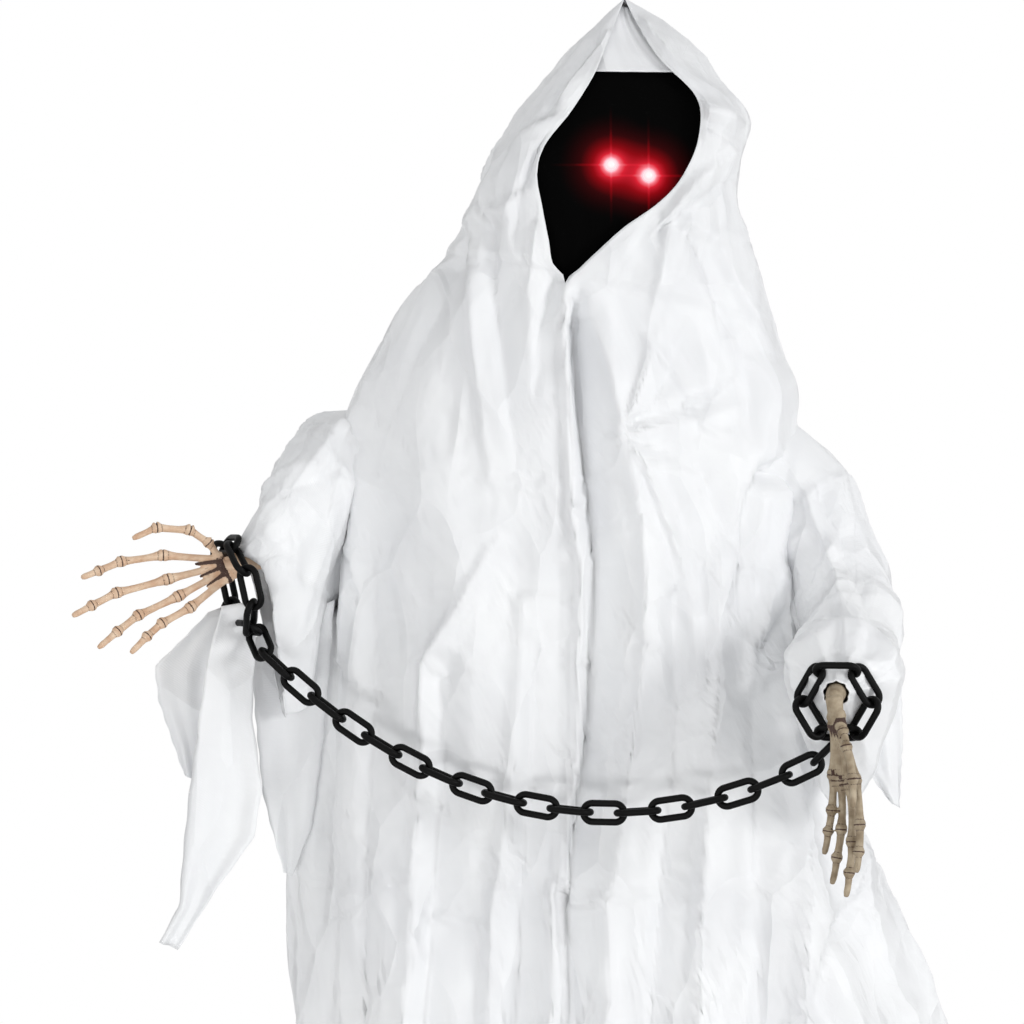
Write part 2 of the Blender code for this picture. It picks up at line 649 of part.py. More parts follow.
def ring_mesh(name, outer, inner, bottom, top, sides=FINE_SIDES):
    return turned_mesh(name, ((outer, top), (outer, bottom), (inner, bottom), (inner, top)),
                       sides, closed=True)


def gear_with_hub(name, module, teeth, bore, parent, matrix, finish, hub_down):
    """Gear and the plain hub on one of its faces, as one moulding."""
    gear = part(name, gear_mesh(name, module, teeth, GEAR_WIDTH, bore), parent, matrix, finish)
    low = -GEAR_HUB_HEIGHT if hub_down else GEAR_WIDTH - WELD * 10
    high = WELD * 10 if hub_down else GEAR_WIDTH + GEAR_HUB_HEIGHT
    ring = ring_mesh(name + "_hub", bore + GEAR_HUB_WALL, bore, low, high)
    join(gear, cutter(name + "_hub", ring, parent, matrix))
    return gear


def motor_mesh(name, radius, length):
    """Can motor with its front boss and shaft up, the front of the can at height zero."""
    boss = radius * MOTOR_BOSS_SHARE
    return turned_mesh(name, (
        (0.0, MOTOR_SHAFT), (MOTOR_SHAFT_RADIUS, MOTOR_SHAFT), (MOTOR_SHAFT_RADIUS, MOTOR_BOSS),
        (boss, MOTOR_BOSS), (boss, 0.0), (radius, 0.0), (radius, -length),
        (boss, -length), (boss, -length - MOTOR_BOSS), (0.0, -length - MOTOR_BOSS)), SIDES)


def build_waist_drive():
    """Gear fixed on the pole; the torso's motor walks its pinion round it."""
    bore = POLE_RADIUS + SEAT_GAP
    bearing = Matrix.Rotation(DRIVE_BEARING, 4, "Z")
    gear_with_hub("waist_gear", WAIST_MODULE, WAIST_TEETH, bore, STAND,
                  shift(z=WAIST_GEAR_HEIGHT) @ bearing, WHITE_NYLON, hub_down=True)
    distance = WAIST_MODULE * (WAIST_TEETH + PINION_TEETH) / 2
    spot = bearing @ shift(x=distance)
    facing = Matrix.Rotation(math.pi + math.pi / PINION_TEETH, 4, "Z")
    pinion = gear_mesh("waist_pinion", WAIST_MODULE, PINION_TEETH, GEAR_WIDTH, MOTOR_SHAFT_RADIUS + SEAT_GAP)
    part("waist_pinion", pinion, TORSO, shift(z=WAIST_GEAR_HEIGHT) @ spot @ facing, WHITE_NYLON)
    front = shelf_height() + CASE_WALL + SEAT_GAP
    part("waist_motor", motor_mesh("waist_motor", MOTOR_RADIUS, MOTOR_LENGTH), TORSO,
         shift(z=front) @ spot @ Matrix.Rotation(math.pi, 4, "X"), MOTOR_STEEL)
    floor = CASE_BOTTOM + CASE_WALL + SEAT_GAP
    wall = bore + BUSH_WALL
    part("waist_bush", turned_mesh("waist_bush", (
        (wall + BUSH_FLANGE, floor + BUSH_FLANGE_THICKNESS), (wall + BUSH_FLANGE, floor), (wall, floor),
        (wall, CASE_BOTTOM - BUSH_FLANGE_THICKNESS), (bore, CASE_BOTTOM - BUSH_FLANGE_THICKNESS),
        (bore, floor + BUSH_FLANGE_THICKNESS)), FINE_SIDES, closed=True), TORSO, Matrix(), WHITE_NYLON)


def shelf_height():
    """Underside of the shelf that carries the waist motor."""
    return WAIST_GEAR_HEIGHT + GEAR_WIDTH + SHELF_CLEARANCE


# Torso case

def case_half(name, side):
    """Half of the case: an open box with walls; side is -1 for the front and +1 for the back."""
    height = CASE_TOP - CASE_BOTTOM
    middle = (CASE_TOP + CASE_BOTTOM) / 2
    block = box_mesh(name, CASE_WIDTH, CASE_DEPTH, height, CASE_CORNER, CASE_CORNER_STEPS)
    half = part(name, block, TORSO, shift(z=middle), BLACK_PLASTIC)
    hollow = box_mesh(name + "_hollow", CASE_WIDTH - CASE_WALL * 2, CASE_DEPTH - CASE_WALL * 2,
                      height - CASE_WALL * 2, CASE_CORNER - CASE_WALL, CASE_CORNER_STEPS)
    cut(half, cutter(name + "_hollow", hollow, TORSO, shift(z=middle)))
    slab = box_mesh(name + "_side", CASE_WIDTH + CUT_OVERRUN * 2, CASE_DEPTH,
                    height + CUT_OVERRUN * 2)
    offset = -side * (CASE_DEPTH / 2 - SEAT_GAP / 2)
    cut(half, cutter(name + "_side", slab, TORSO, shift(y=offset, z=middle)))
    return half


def build_case():
    """Front and back shells, with the pole's hole and what the shells carry."""
    front = case_half("case_front", -1)
    back = case_half("case_back", 1)
    hole_radius = POLE_RADIUS + SEAT_GAP + BUSH_WALL + SEAT_GAP
    hole = cylinder_mesh("pole_hole", hole_radius, CASE_BOTTOM - CUT_OVERRUN,
                         CASE_BOTTOM + CASE_WALL + CUT_OVERRUN, FINE_SIDES)
    for half in (front, back):
        cut(half, cutter(half.name + "_pole_hole", hole, TORSO, Matrix()))
    cut_grille(front)
    build_speaker()
    build_pole_cup()
    build_motor_shelf(back)
    build_shoulder_bar(back)
    build_battery_bay(back)
    build_switch(back)


def cut_grille(front):
    """Sound slots in front of the speaker."""
    for slot in range(GRILLE_SLOTS):
        height = GRILLE_CENTRE + (slot - (GRILLE_SLOTS - 1) / 2) * GRILLE_PITCH
        mesh = box_mesh("slot", GRILLE_SLOT_WIDTH, CASE_WALL + CUT_OVERRUN * 2, GRILLE_SLOT_HEIGHT)
        spot = shift(y=-CASE_DEPTH / 2 + CASE_WALL / 2, z=height)
        cut(front, cutter("grille_slot_" + str(slot), mesh, TORSO, spot))


def build_speaker():
    """Round speaker against the inside of the front shell."""
    mesh = turned_mesh("speaker", (
        (0.0, 0.0), (SPEAKER_RADIUS, 0.0), (SPEAKER_RADIUS, -SPEAKER_RIM),
        (SPEAKER_MAGNET_RADIUS, -SPEAKER_DEPTH / 2), (SPEAKER_MAGNET_RADIUS, -SPEAKER_DEPTH),
        (0.0, -SPEAKER_DEPTH)), FINE_SIDES)
    inside = -CASE_DEPTH / 2 + CASE_WALL + SEAT_GAP
    part("speaker", mesh, TORSO, axes((0, inside, GRILLE_CENTRE), (0, -1, 0), (0, 0, 1)), BLACK_PLASTIC)


def build_pole_cup():
    """Cup that takes the top of the pole and carries the torso under the case's lid."""
    inner = POLE_RADIUS + SEAT_GAP
    outer = inner + POLE_CUP_WALL
    lid = CASE_TOP - CASE_WALL - SEAT_GAP
    mouth = POLE_TOP_HEIGHT - POLE_CUP_DEPTH
    top = POLE_TOP_HEIGHT + SEAT_GAP
    cup = turned_mesh("pole_cup", ((0.0, lid), (outer, lid), (outer, mouth), (inner, mouth),
                                   (inner, top), (0.0, top)), FINE_SIDES)
    part("pole_cup", cup, TORSO, Matrix(), BLACK_PLASTIC)


def build_motor_shelf(back):
    """Shelf inside the back shell, with a clear hole for the waist motor's boss."""
    inner = POLE_RADIUS - CASE_WALL
    far = CASE_WIDTH / 2 - CASE_WALL / 2
    deep = CASE_DEPTH / 2 - CASE_WALL / 2
    shelf = box_mesh("motor_shelf", far - inner, deep - inner, CASE_WALL, CASE_CORNER - CASE_WALL / 2,
                     CASE_CORNER_STEPS)
    middle = shelf_height() + CASE_WALL / 2
    join(back, cutter("motor_shelf", shelf, TORSO, shift((far + inner) / 2, (deep + inner) / 2, middle)))
    distance = WAIST_MODULE * (WAIST_TEETH + PINION_TEETH) / 2
    spot = Matrix.Rotation(DRIVE_BEARING, 4, "Z") @ shift(x=distance, z=middle)
    hole = cylinder_mesh("boss_hole", MOTOR_RADIUS * MOTOR_BOSS_SHARE + SEAT_GAP, -CASE_WALL, CASE_WALL)
    cut(back, cutter("boss_hole", hole, TORSO, spot))


def bar_matrix():
    return axes((0, SHOULDER_BAR_SETBACK, SHOULDER_BAR_HEIGHT), (1, 0, 0), (0, 0, 1))


def build_shoulder_bar(back):
    """Bar through the back shell; its bore takes both arms."""
    bore = ARM_RADIUS + SEAT_GAP
    mesh = turned_mesh("shoulder_bar", pipe_profile(
        SHOULDER_BAR_RADIUS, SHOULDER_BAR_RADIUS - bore, -SHOULDER_BAR_HALF_LENGTH,
        SHOULDER_BAR_HALF_LENGTH), SIDES, closed=True)
    part("shoulder_bar", mesh, TORSO, bar_matrix(), BLACK_PLASTIC)
    reach = CASE_WIDTH / 2 + CUT_OVERRUN
    hole = cylinder_mesh("bar_hole", SHOULDER_BAR_RADIUS + SEAT_GAP, -reach, reach)
    cut(back, cutter("bar_hole", hole, TORSO, bar_matrix()))


def build_battery_bay(back):
    """Pocket in the back shell, the door over it and the two rails that the door slides in."""
    face = CASE_DEPTH / 2
    outer = box_mesh("bay", BATTERY_WIDTH + BATTERY_WALL * 2, BATTERY_DEPTH,
                     BATTERY_HEIGHT + BATTERY_WALL * 2)
    middle = face - CASE_WALL / 2 - BATTERY_DEPTH / 2
    join(back, cutter("bay", outer, TORSO, shift(y=middle, z=BATTERY_CENTRE)))
    depth = BATTERY_DEPTH + CUT_OVERRUN
    inner = box_mesh("bay_hollow", BATTERY_WIDTH, depth, BATTERY_HEIGHT)
    floor = face - CASE_WALL / 2 - BATTERY_DEPTH + BATTERY_WALL
    cut(back, cutter("bay_hollow", inner, TORSO, shift(y=floor + depth / 2, z=BATTERY_CENTRE)))
    door_width = BATTERY_WIDTH + DOOR_LAP * 2
    door_height = BATTERY_HEIGHT + DOOR_LAP * 2
    plane = face + SEAT_GAP + DOOR_THICKNESS / 2
    door = part("battery_door", box_mesh("battery_door", door_width, DOOR_THICKNESS, door_height),
                TORSO, shift(y=plane, z=BATTERY_CENTRE), BLACK_PLASTIC)
    for rib in range(DOOR_GRIP_RIBS):
        height = door_height / 2 - DOOR_LAP * (rib + 1)
        mesh = box_mesh("door_rib", door_width / 2, DOOR_GRIP_HEIGHT * 2, DOOR_GRIP_HEIGHT)
        spot = shift(y=plane + DOOR_THICKNESS / 2, z=BATTERY_CENTRE + height)
        join(door, cutter("door_rib_" + str(rib), mesh, TORSO, spot))
    build_door_rails(back, door_width, door_height, face)


def build_door_rails(back, door_width, door_height, face):
    """An L-shaped rail on each side of the door, moulded with the back shell."""
    depth = DOOR_THICKNESS + SEAT_GAP * 3 + RAIL_LIP
    web = box_mesh("rail", RAIL_WIDTH, depth + CASE_WALL / 2, door_height)
    lip = box_mesh("rail_lip", RAIL_WIDTH, RAIL_LIP, door_height - SEAT_GAP * 2)
    for name, side in (("left", -1), ("right", 1)):
        across = side * (door_width / 2 + SEAT_GAP + RAIL_WIDTH / 2)
        join(back, cutter("rail_" + name, web, TORSO,
                          shift(across, face + depth / 2 - CASE_WALL / 4, BATTERY_CENTRE)))
        join(back, cutter("rail_lip_" + name, lip, TORSO,
                          shift(across - side * DOOR_LAP / 2, face + depth - SEAT_GAP - RAIL_LIP / 2,
                                BATTERY_CENTRE)))


def build_switch(back):
    """Slide switch: a knob outside, a stem through the slot and a flange inside."""
    face = CASE_DEPTH / 2
    slot_height = SWITCH_STEM + SWITCH_TRAVEL + SEAT_GAP * 2
    slot = box_mesh("switch_slot", SWITCH_STEM_WIDTH + SEAT_GAP * 2, CASE_WALL + CUT_OVERRUN * 2, slot_height)
    height = SWITCH_HEIGHT + SWITCH_TRAVEL / 2
    cut(back, cutter("switch_slot", slot, TORSO, shift(SWITCH_OFFSET, face - CASE_WALL / 2, height)))
    outside = face + SEAT_GAP + SWITCH_KNOB_THICKNESS / 2
    inside = face - CASE_WALL - SEAT_GAP - SWITCH_FLANGE_THICKNESS / 2
    knob = part("switch_knob", box_mesh("switch_knob", SWITCH_KNOB, SWITCH_KNOB_THICKNESS, SWITCH_KNOB),
                TORSO, shift(SWITCH_OFFSET, outside, SWITCH_HEIGHT), BLACK_PLASTIC)
    stem = box_mesh("switch_stem", SWITCH_STEM_WIDTH, outside - inside, SWITCH_STEM)
    middle = (outside + inside) / 2
    join(knob, cutter("switch_stem", stem, TORSO, shift(SWITCH_OFFSET, middle, SWITCH_HEIGHT)))
    flange = box_mesh("switch_flange", SWITCH_KNOB, SWITCH_FLANGE_THICKNESS, SWITCH_STEM)
    join(knob, cutter("switch_flange", flange, TORSO, shift(SWITCH_OFFSET, inside, SWITCH_HEIGHT)))
    groove = SWITCH_KNOB_THICKNESS * SWITCH_GROOVE_SHARE
    grip = cylinder_mesh("grip_groove", groove, -SWITCH_KNOB, SWITCH_KNOB, 8)
    cut(knob, cutter("grip_groove", grip, TORSO, axes(
        (SWITCH_OFFSET, outside + SWITCH_KNOB_THICKNESS / 2, SWITCH_HEIGHT), (1, 0, 0), (0, 0, 1))))


# Neck and head

def build_neck():
    """Tilted bracket on the case, neck shaft with its gear, and the neck motor and pinion."""
    bracket = part("neck_bracket", turned_mesh("neck_bracket", (
        (NECK_SHAFT_RADIUS + SEAT_GAP, 0.0), (BRACKET_RADIUS, 0.0), (BRACKET_RADIUS, -BRACKET_RADIUS * 2),
        (BRACKET_RADIUS - BRACKET_WALL, -BRACKET_RADIUS * 2), (BRACKET_RADIUS - BRACKET_WALL, -BRACKET_WALL),
        (NECK_SHAFT_RADIUS + SEAT_GAP, -BRACKET_WALL)), FINE_SIDES, closed=True),
        HEAD, Matrix(), BLACK_PLASTIC)
    trim = box_mesh("bracket_trim", BRACKET_RADIUS * 4, BRACKET_RADIUS * 4, BRACKET_RADIUS * 4)
    cut(bracket, cutter("bracket_trim", trim, TORSO, shift(z=CASE_TOP + SEAT_GAP - BRACKET_RADIUS * 2)))
    distance = NECK_MODULE * (NECK_TEETH + PINION_TEETH) / 2
    boss = cylinder_mesh("neck_boss_hole", NECK_MOTOR_RADIUS * MOTOR_BOSS_SHARE + SEAT_GAP,
                         -BRACKET_WALL - CUT_OVERRUN, CUT_OVERRUN)
    cut(bracket, cutter("neck_boss_hole", boss, HEAD, shift(y=distance)))
    part("neck_motor", motor_mesh("neck_motor", NECK_MOTOR_RADIUS, NECK_MOTOR_LENGTH), HEAD,
         shift(y=distance, z=-BRACKET_WALL - SEAT_GAP), MOTOR_STEEL)
    bearing = Matrix.Rotation(math.pi / 2, 4, "Z")
    facing = Matrix.Rotation(math.pi + math.pi / PINION_TEETH, 4, "Z")
    part("neck_pinion", gear_mesh("neck_pinion", NECK_MODULE, PINION_TEETH, GEAR_WIDTH,
                                  MOTOR_SHAFT_RADIUS + SEAT_GAP),
         HEAD, bearing @ shift(x=distance, z=SEAT_GAP) @ facing, WHITE_NYLON)
    part("neck_gear", gear_mesh("neck_gear", NECK_MODULE, NECK_TEETH, GEAR_WIDTH,
                                NECK_SHAFT_RADIUS + SEAT_GAP), HEAD, shift(z=SEAT_GAP) @ bearing, WHITE_NYLON)
    collar = GEAR_WIDTH + SEAT_GAP * 2
    part("neck_shaft", turned_mesh("neck_shaft", (
        (0.0, NECK_SHAFT_TOP), (NECK_SHAFT_RADIUS, NECK_SHAFT_TOP),
        (NECK_SHAFT_RADIUS, collar + SHAFT_COLLAR), (SHAFT_COLLAR_RADIUS, collar + SHAFT_COLLAR),
        (SHAFT_COLLAR_RADIUS, collar), (NECK_SHAFT_RADIUS, collar),
        (NECK_SHAFT_RADIUS, -NECK_SHAFT_FOOT), (0.0, -NECK_SHAFT_FOOT))),
        HEAD, Matrix(), MOTOR_STEEL)


def egg_mesh(name, inset):
    """Ellipsoid of the head, drawn in by inset on all sides."""
    def build(form):
        bmesh.ops.create_uvsphere(form, u_segments=HEAD_SIDES, v_segments=HEAD_STEPS, radius=1.0)
        size = (HEAD_HALF_WIDTH - inset, HEAD_HALF_DEPTH - inset, HEAD_HALF_HEIGHT - inset)
        bmesh.ops.scale(form, vec=size, verts=form.verts)
    return mesh_from(name, build)


def eye_matrix(side):
    """Place of a lens: side is -1 on the left and +1 on the right."""
    across = EYE_ACROSS + side * EYE_SPACING / 2 * math.cos(EYE_TILT)
    height = EYE_LEVEL - side * EYE_SPACING / 2 * math.sin(EYE_TILT)
    return axes((across, 0, height), (0, -1, 0), (0, 0, 1))


def build_head():
    """Hollow head shell on the neck shaft, with the two lit lenses through its front."""
    centre = shift(HEAD_ACROSS, -HEAD_FORWARD, HEAD_CENTRE_HEIGHT)
    shell = part("head_shell", egg_mesh("head_shell", 0.0), HEAD, centre, BLACK_PLASTIC)
    cut(shell, cutter("head_hollow", egg_mesh("head_hollow", HEAD_WALL), HEAD, centre))
    hole = cylinder_mesh("neck_hole", NECK_SHAFT_RADIUS + SEAT_GAP, 0.0, HEAD_CENTRE_HEIGHT)
    cut(shell, cutter("neck_hole", hole, HEAD, Matrix()))
    for name, side in (("left", -1), ("right", 1)):
        spot = eye_matrix(side)
        socket = cylinder_mesh("eye_socket", EYE_RADIUS + SEAT_GAP, 0.0, EYE_TIP)
        cut(shell, cutter("eye_socket_" + name, socket, HEAD, spot))
        half = EYE_RADIUS * math.sqrt(1 / 2)
        part("eye_" + name, turned_mesh("eye_" + name, (
            (0.0, EYE_TIP), (half, EYE_TIP - EYE_RADIUS + half), (EYE_RADIUS, EYE_TIP - EYE_RADIUS),
            (EYE_RADIUS, EYE_TIP - EYE_LENGTH), (0.0, EYE_TIP - EYE_LENGTH))), HEAD, spot, RED_LENS)


# Cloth

def quarter(share):
    """Sine and cosine of a quarter turn, drawn out towards a square."""
    angle = share * math.pi / 2
    return math.sin(angle) ** FULLNESS, math.cos(angle) ** FULLNESS


def round_row(left, right, rim_left, rim_right, front, widest, back, t):
    """Point of one row, at t from 0 at the left front edge, by the back, to 1 at the right front edge."""
    span = t * 4
    side = min(int(span), 3)
    sine, cosine = quarter(span - side)
    middle = (left + right) / 2
    if side == 0:
        return rim_left + (left - rim_left) * sine, widest + (front - widest) * cosine
    if side == 1:
        return middle + (left - middle) * cosine, widest + (back - widest) * sine
    if side == 2:
        return middle + (right - middle) * sine, widest + (back - widest) * cosine
    return rim_right + (right - rim_right) * cosine, widest + (front - widest) * sine


def hood_rows():
    """Rows of the hood in the head's leaning frame, from the chin up."""
    rows = []
    for height, left, right, rim_left, rim_right, front, widest, back in HOOD_ROW_SHARES:
        across = [share * HOOD_HALF_WIDTH for share in (left, right, rim_left, rim_right)]
        along = [share * HOOD_HALF_DEPTH for share in (front, widest, back)]
        row = []
        for column in range(HOOD_COLUMNS + 1):
            x, y = round_row(*across, *along, column / HOOD_COLUMNS)
            row.append(Vector((x, y, height * HOOD_HEIGHT)))
        rows.append(row)
    return rows


def build_hood():
    """Hood: an open sheet from the chin to the point, turned with the head."""
    rows = hood_rows()
    height, across, forward = APEX_SHARES
    tip = (across * HOOD_HALF_WIDTH, forward * HOOD_HALF_DEPTH, height * HOOD_HEIGHT)
    mesh = lofted_mesh("hood", rows, False, tip)
    give_thickness(part("hood", mesh, HEAD, Matrix(), WHITE_CLOTH), CLOTH)


def fold_depth(t, drop, amount):
    """How far the skirt's folds move a point outwards, with a deep valley at the front seam."""
    waves = math.cos(math.tau * SKIRT_FOLDS * t + drop * 2) * FIRST_FOLD_SHARE \
        + math.cos(math.tau * SECOND_FOLDS * t - drop) * SECOND_FOLD_SHARE
    seam = min(t, 1 - t) / VALLEY_WIDTH_SHARE
    valley = math.exp(-seam * seam) * math.sqrt(max(amount, 0.0))
    return SKIRT_FOLD * amount * waves - FRONT_VALLEY * valley


def robe_row(shares):
    """One closed row of the robe in world space."""
    drop, tilt, left, right, front, widest, back, amount = shares
    lean = tilt * HEAD_LEAN
    up = Vector((math.sin(lean), 0, math.cos(lean)))
    over = Vector((math.cos(lean), 0, -math.sin(lean)))
    origin = Vector((NECK_OFFSET, 0, NECK_HEIGHT)) - up * drop * ROBE_DROP
    across = [left * ROBE_HALF_WIDTH, right * ROBE_HALF_WIDTH, SEAM_ACROSS, SEAM_ACROSS]
    along = [share * ROBE_HALF_DEPTH for share in (front, widest, back)]
    row = []
    for column in range(ROBE_COLUMNS):
        t = column / ROBE_COLUMNS
        x, y = round_row(*across, *along, t)
        outward = Vector((x, y)).normalized() * fold_depth(t, drop * math.tau, amount)
        row.append(origin + over * (x + outward.x) + Vector((0, y + outward.y, 0)))
    return row


def build_robe():
    """Robe: closed rows from the neck to the torn hem, with a hole for each sleeve."""
    rows = [robe_row(shares) for shares in ROBE_ROW_SHARES]
    mean, first, second = HEM_SHARES
    tatter = [mean + math.cos(column * math.pi) * first + math.sin(column * HEM_WAVE_STEP) * second
              for column in range(ROBE_COLUMNS)]
    lowest = robe_row(ROBE_ROW_SHARES[-1])
    rows.append([point - Vector((0, 0, HEM_TATTER * depth)) for point, depth in zip(lowest, tatter)])
    robe = part("robe", lofted_mesh("robe", rows, True), TORSO, Matrix(), WHITE_CLOTH)
    give_thickness(robe, CLOTH)
    for name, start, shares in (("left", LEFT_SLEEVE_START, LEFT_SLEEVE_SHARES),
                                ("right", RIGHT_SLEEVE_START, RIGHT_SLEEVE_SHARES)):
        frames = sleeve_frames(start, shares)
        cut(robe, cutter("armhole_" + name, armhole_mesh(frames[:3]), TORSO, Matrix()))


def sleeve_frames(start, shares):
    """Centre, up, side and reaches of each ring of a sleeve, in world space."""
    frames = []
    for place_share, direction, reach_up, reach_down, reach_side in shares:
        centre = Vector(start) + Vector(place_share) * SLEEVE_LENGTH
        along = Vector(direction).normalized()
        up = (Vector((0, 0, 1)) - along * along.z).normalized()
        side = up.cross(along)
        frames.append((centre, along, up, side, reach_up * SLEEVE_LENGTH,
                       reach_down * SLEEVE_LENGTH, reach_side * SLEEVE_LENGTH))
    return frames


def sleeve_ring(frame, clearance=0.0):
    centre, along, up, side, reach_up, reach_down, reach_side = frame
    ring = []
    for column in range(SLEEVE_COLUMNS):
        angle = math.tau * column / SLEEVE_COLUMNS
        height = math.cos(angle)
        reach = reach_up if height > 0 else reach_down
        low = max(0.0, -height)
        narrow = 1 - (1 - SLEEVE_NARROW_SHARE) * low
        ring.append(centre + up * height * (reach + clearance) + Vector((0, SLEEVE_SWING, 0)) * low
                    + side * math.sin(angle) * (reach_side * narrow + clearance))
    return ring


def armhole_mesh(frames):
    """Closed body of a sleeve's upper end with clearance round it, to cut the robe."""
    first = frames[0]
    rings = [sleeve_ring(frame, SLEEVE_CLEARANCE) for frame in frames]
    rings.insert(0, [point - first[1] * ARMHOLE_DEPTH for point in rings[0]])

    def build(form):
        loops = [[form.verts.new(point) for point in ring] for ring in rings]
        for low, high in zip(loops, loops[1:]):
            for index in range(len(low)):
                after = (index + 1) % len(low)
                form.faces.new((low[index], low[after], high[after]))
                form.faces.new((low[index], high[after], high[index]))
        form.faces.new(loops[0])
        form.faces.new(loops[-1])
    return mesh_from("armhole", build)


def build_sleeve(name, start, shares, tatter_shares, tatter_direction):
    """Bell sleeve with torn strips that hang from its mouth."""
    frames = sleeve_frames(start, shares)
    rows = [sleeve_ring(frame) for frame in frames]
    down = Vector(tatter_direction)
    rows.append([point + down * SLEEVE_TATTER * length + frames[-1][1] * CUT_OVERRUN
                 for point, length in zip(rows[-1], tatter_shares)])
    sleeve = part(name, lofted_mesh(name, rows, True), TORSO, Matrix(), WHITE_CLOTH)
    give_thickness(sleeve, CLOTH)


def build_veil():
    """Black veil a little behind the hood's rim, with a hole for each lens."""
    rows = []
    for height, _, _, rim_left, rim_right, front, _, _ in HOOD_ROW_SHARES[:-1]:
        low = rim_left * HOOD_HALF_WIDTH - VEIL_LAP
        high = rim_right * HOOD_HALF_WIDTH + VEIL_LAP
        y = front * HOOD_HALF_DEPTH + VEIL_SETBACK
        rows.append([Vector((low + (high - low) * step / VEIL_STEPS, y, height * HOOD_HEIGHT))
                     for step in range(VEIL_STEPS + 1)])
    veil = part("face_veil", lofted_mesh("face_veil", rows, False), HEAD, Matrix(), BLACK_CLOTH)
    give_thickness(veil, CLOTH)
    for name, side in (("left", -1), ("right", 1)):
        hole = cylinder_mesh("lens_hole_" + name, EYE_RADIUS + SEAT_GAP, EYE_TIP - EYE_LENGTH,
                             EYE_TIP + CUT_OVERRUN)
        cut(veil, cutter("lens_hole_" + name, hole, HEAD, eye_matrix(side)))


# Chain

def link_mesh(name):
    """Oval link round the origin: its length along X, its width along Y."""
    centre_line = []
    for end in (0, 1):
        for step in range(LINK_ARC_STEPS + 1):
            angle = -math.pi / 2 + math.pi * (end + step / LINK_ARC_STEPS)
            offset = ARC_OFFSET if end == 0 else -ARC_OFFSET
            outward = Vector((math.cos(angle), math.sin(angle), 0))
            centre_line.append((outward * PITCH_RADIUS + Vector((offset, 0, 0)), outward))

    def build(form):
        rings = []
        for centre, outward in centre_line:
            ring = []
            for side in range(WIRE_SIDES):
                turn = math.tau * (side + 1 / 2) / WIRE_SIDES
                reach = outward * math.cos(turn) + Vector((0, 0, 1)) * math.sin(turn)
                ring.append(form.verts.new(centre + reach * WIRE_RADIUS))
            rings.append(ring)
        for index, ring in enumerate(rings):
            following = rings[(index + 1) % len(rings)]
            for side in range(WIRE_SIDES):
                after = (side + 1) % WIRE_SIDES
                form.faces.new((ring[side], ring[after], following[after], following[side]))
    return mesh_from(name, build)


def link_matrix(middle, along, normal):
    """Place of a link from its middle, its long direction and the normal of its plane."""
    x = along.normalized()
    z = (normal - x * normal.dot(x)).normalized()
    matrix = Matrix((x, z.cross(x), z)).transposed().to_4x4()
    matrix.translation = middle
    return matrix


def in_plane(direction, normal):
    flat = direction - normal * direction.dot(normal)
    return flat.normalized()


def next_link(middle, along, normal, next_along, next_normal, reach):
    """Middle of the link that hangs in this one, with its wire reach away from this one's wire."""
    pull = (along + next_along).normalized()
    own = in_plane(normal, along)
    other = in_plane(next_normal, next_along)
    inner = middle + along * ARC_OFFSET + in_plane(pull, own) * PITCH_RADIUS
    touch = inner - pull * reach
    return touch + in_plane(pull, other) * PITCH_RADIUS + next_along * ARC_OFFSET


def sag_slopes():
    """Slopes of a hanging chain of the chain's own length, at the middle of each link."""
    pitch = LINK_LENGTH - WIRE_RADIUS * 4 - LINK_GAP
    length = pitch * CHAIN_LINKS
    chord = math.sqrt(length ** 2 - CHAIN_FALL ** 2)
    low, high = (CHAIN_SPAN * share for share in CURVE_LIMIT_SHARES)
    for _ in range(CURVE_TRIES):
        scale = math.sqrt(low * high)
        if 2 * scale * math.sinh(CHAIN_SPAN / 2 / scale) > chord:
            low = scale
        else:
            high = scale
    offset = scale * math.atanh(-CHAIN_FALL / length)
    first = math.sinh((-CHAIN_SPAN / 2 + offset) / scale)
    slopes = [math.atan(first + pitch * (index + 1 / 2) / scale) for index in range(CHAIN_LINKS)]
    return [LEFT_TIE_SLOPE, *slopes, RIGHT_TIE_SLOPE]


def chain_places():
    """Middle, direction and plane normal of every link, from the left wrist's to the right one's."""
    flat = Vector((math.cos(CHAIN_BEARING), math.sin(CHAIN_BEARING), 0))
    across = Vector((math.sin(CHAIN_BEARING), -math.cos(CHAIN_BEARING), 0))
    directions = [flat * math.cos(slope) + Vector((0, 0, math.sin(slope))) for slope in sag_slopes()]
    directions[0] = directions[0] * math.cos(TIE_LEAN) + Vector((0, -1, 0)) * math.sin(TIE_LEAN)
    directions[0].normalize()
    normals = []
    for index, along in enumerate(directions):
        face_on = index % 2 == 0
        normals.append(across if face_on else across.cross(along))
    middle = left_hook_middle(directions[0])
    places = [(middle, directions[0], normals[0])]
    for index in range(1, len(directions)):
        gap = TIE_GAP if index in (1, len(directions) - 1) else LINK_GAP
        middle = next_link(*places[-1], directions[index], normals[index], WIRE_RADIUS * 2 + gap)
        places.append((middle, directions[index], normals[index]))
    return places


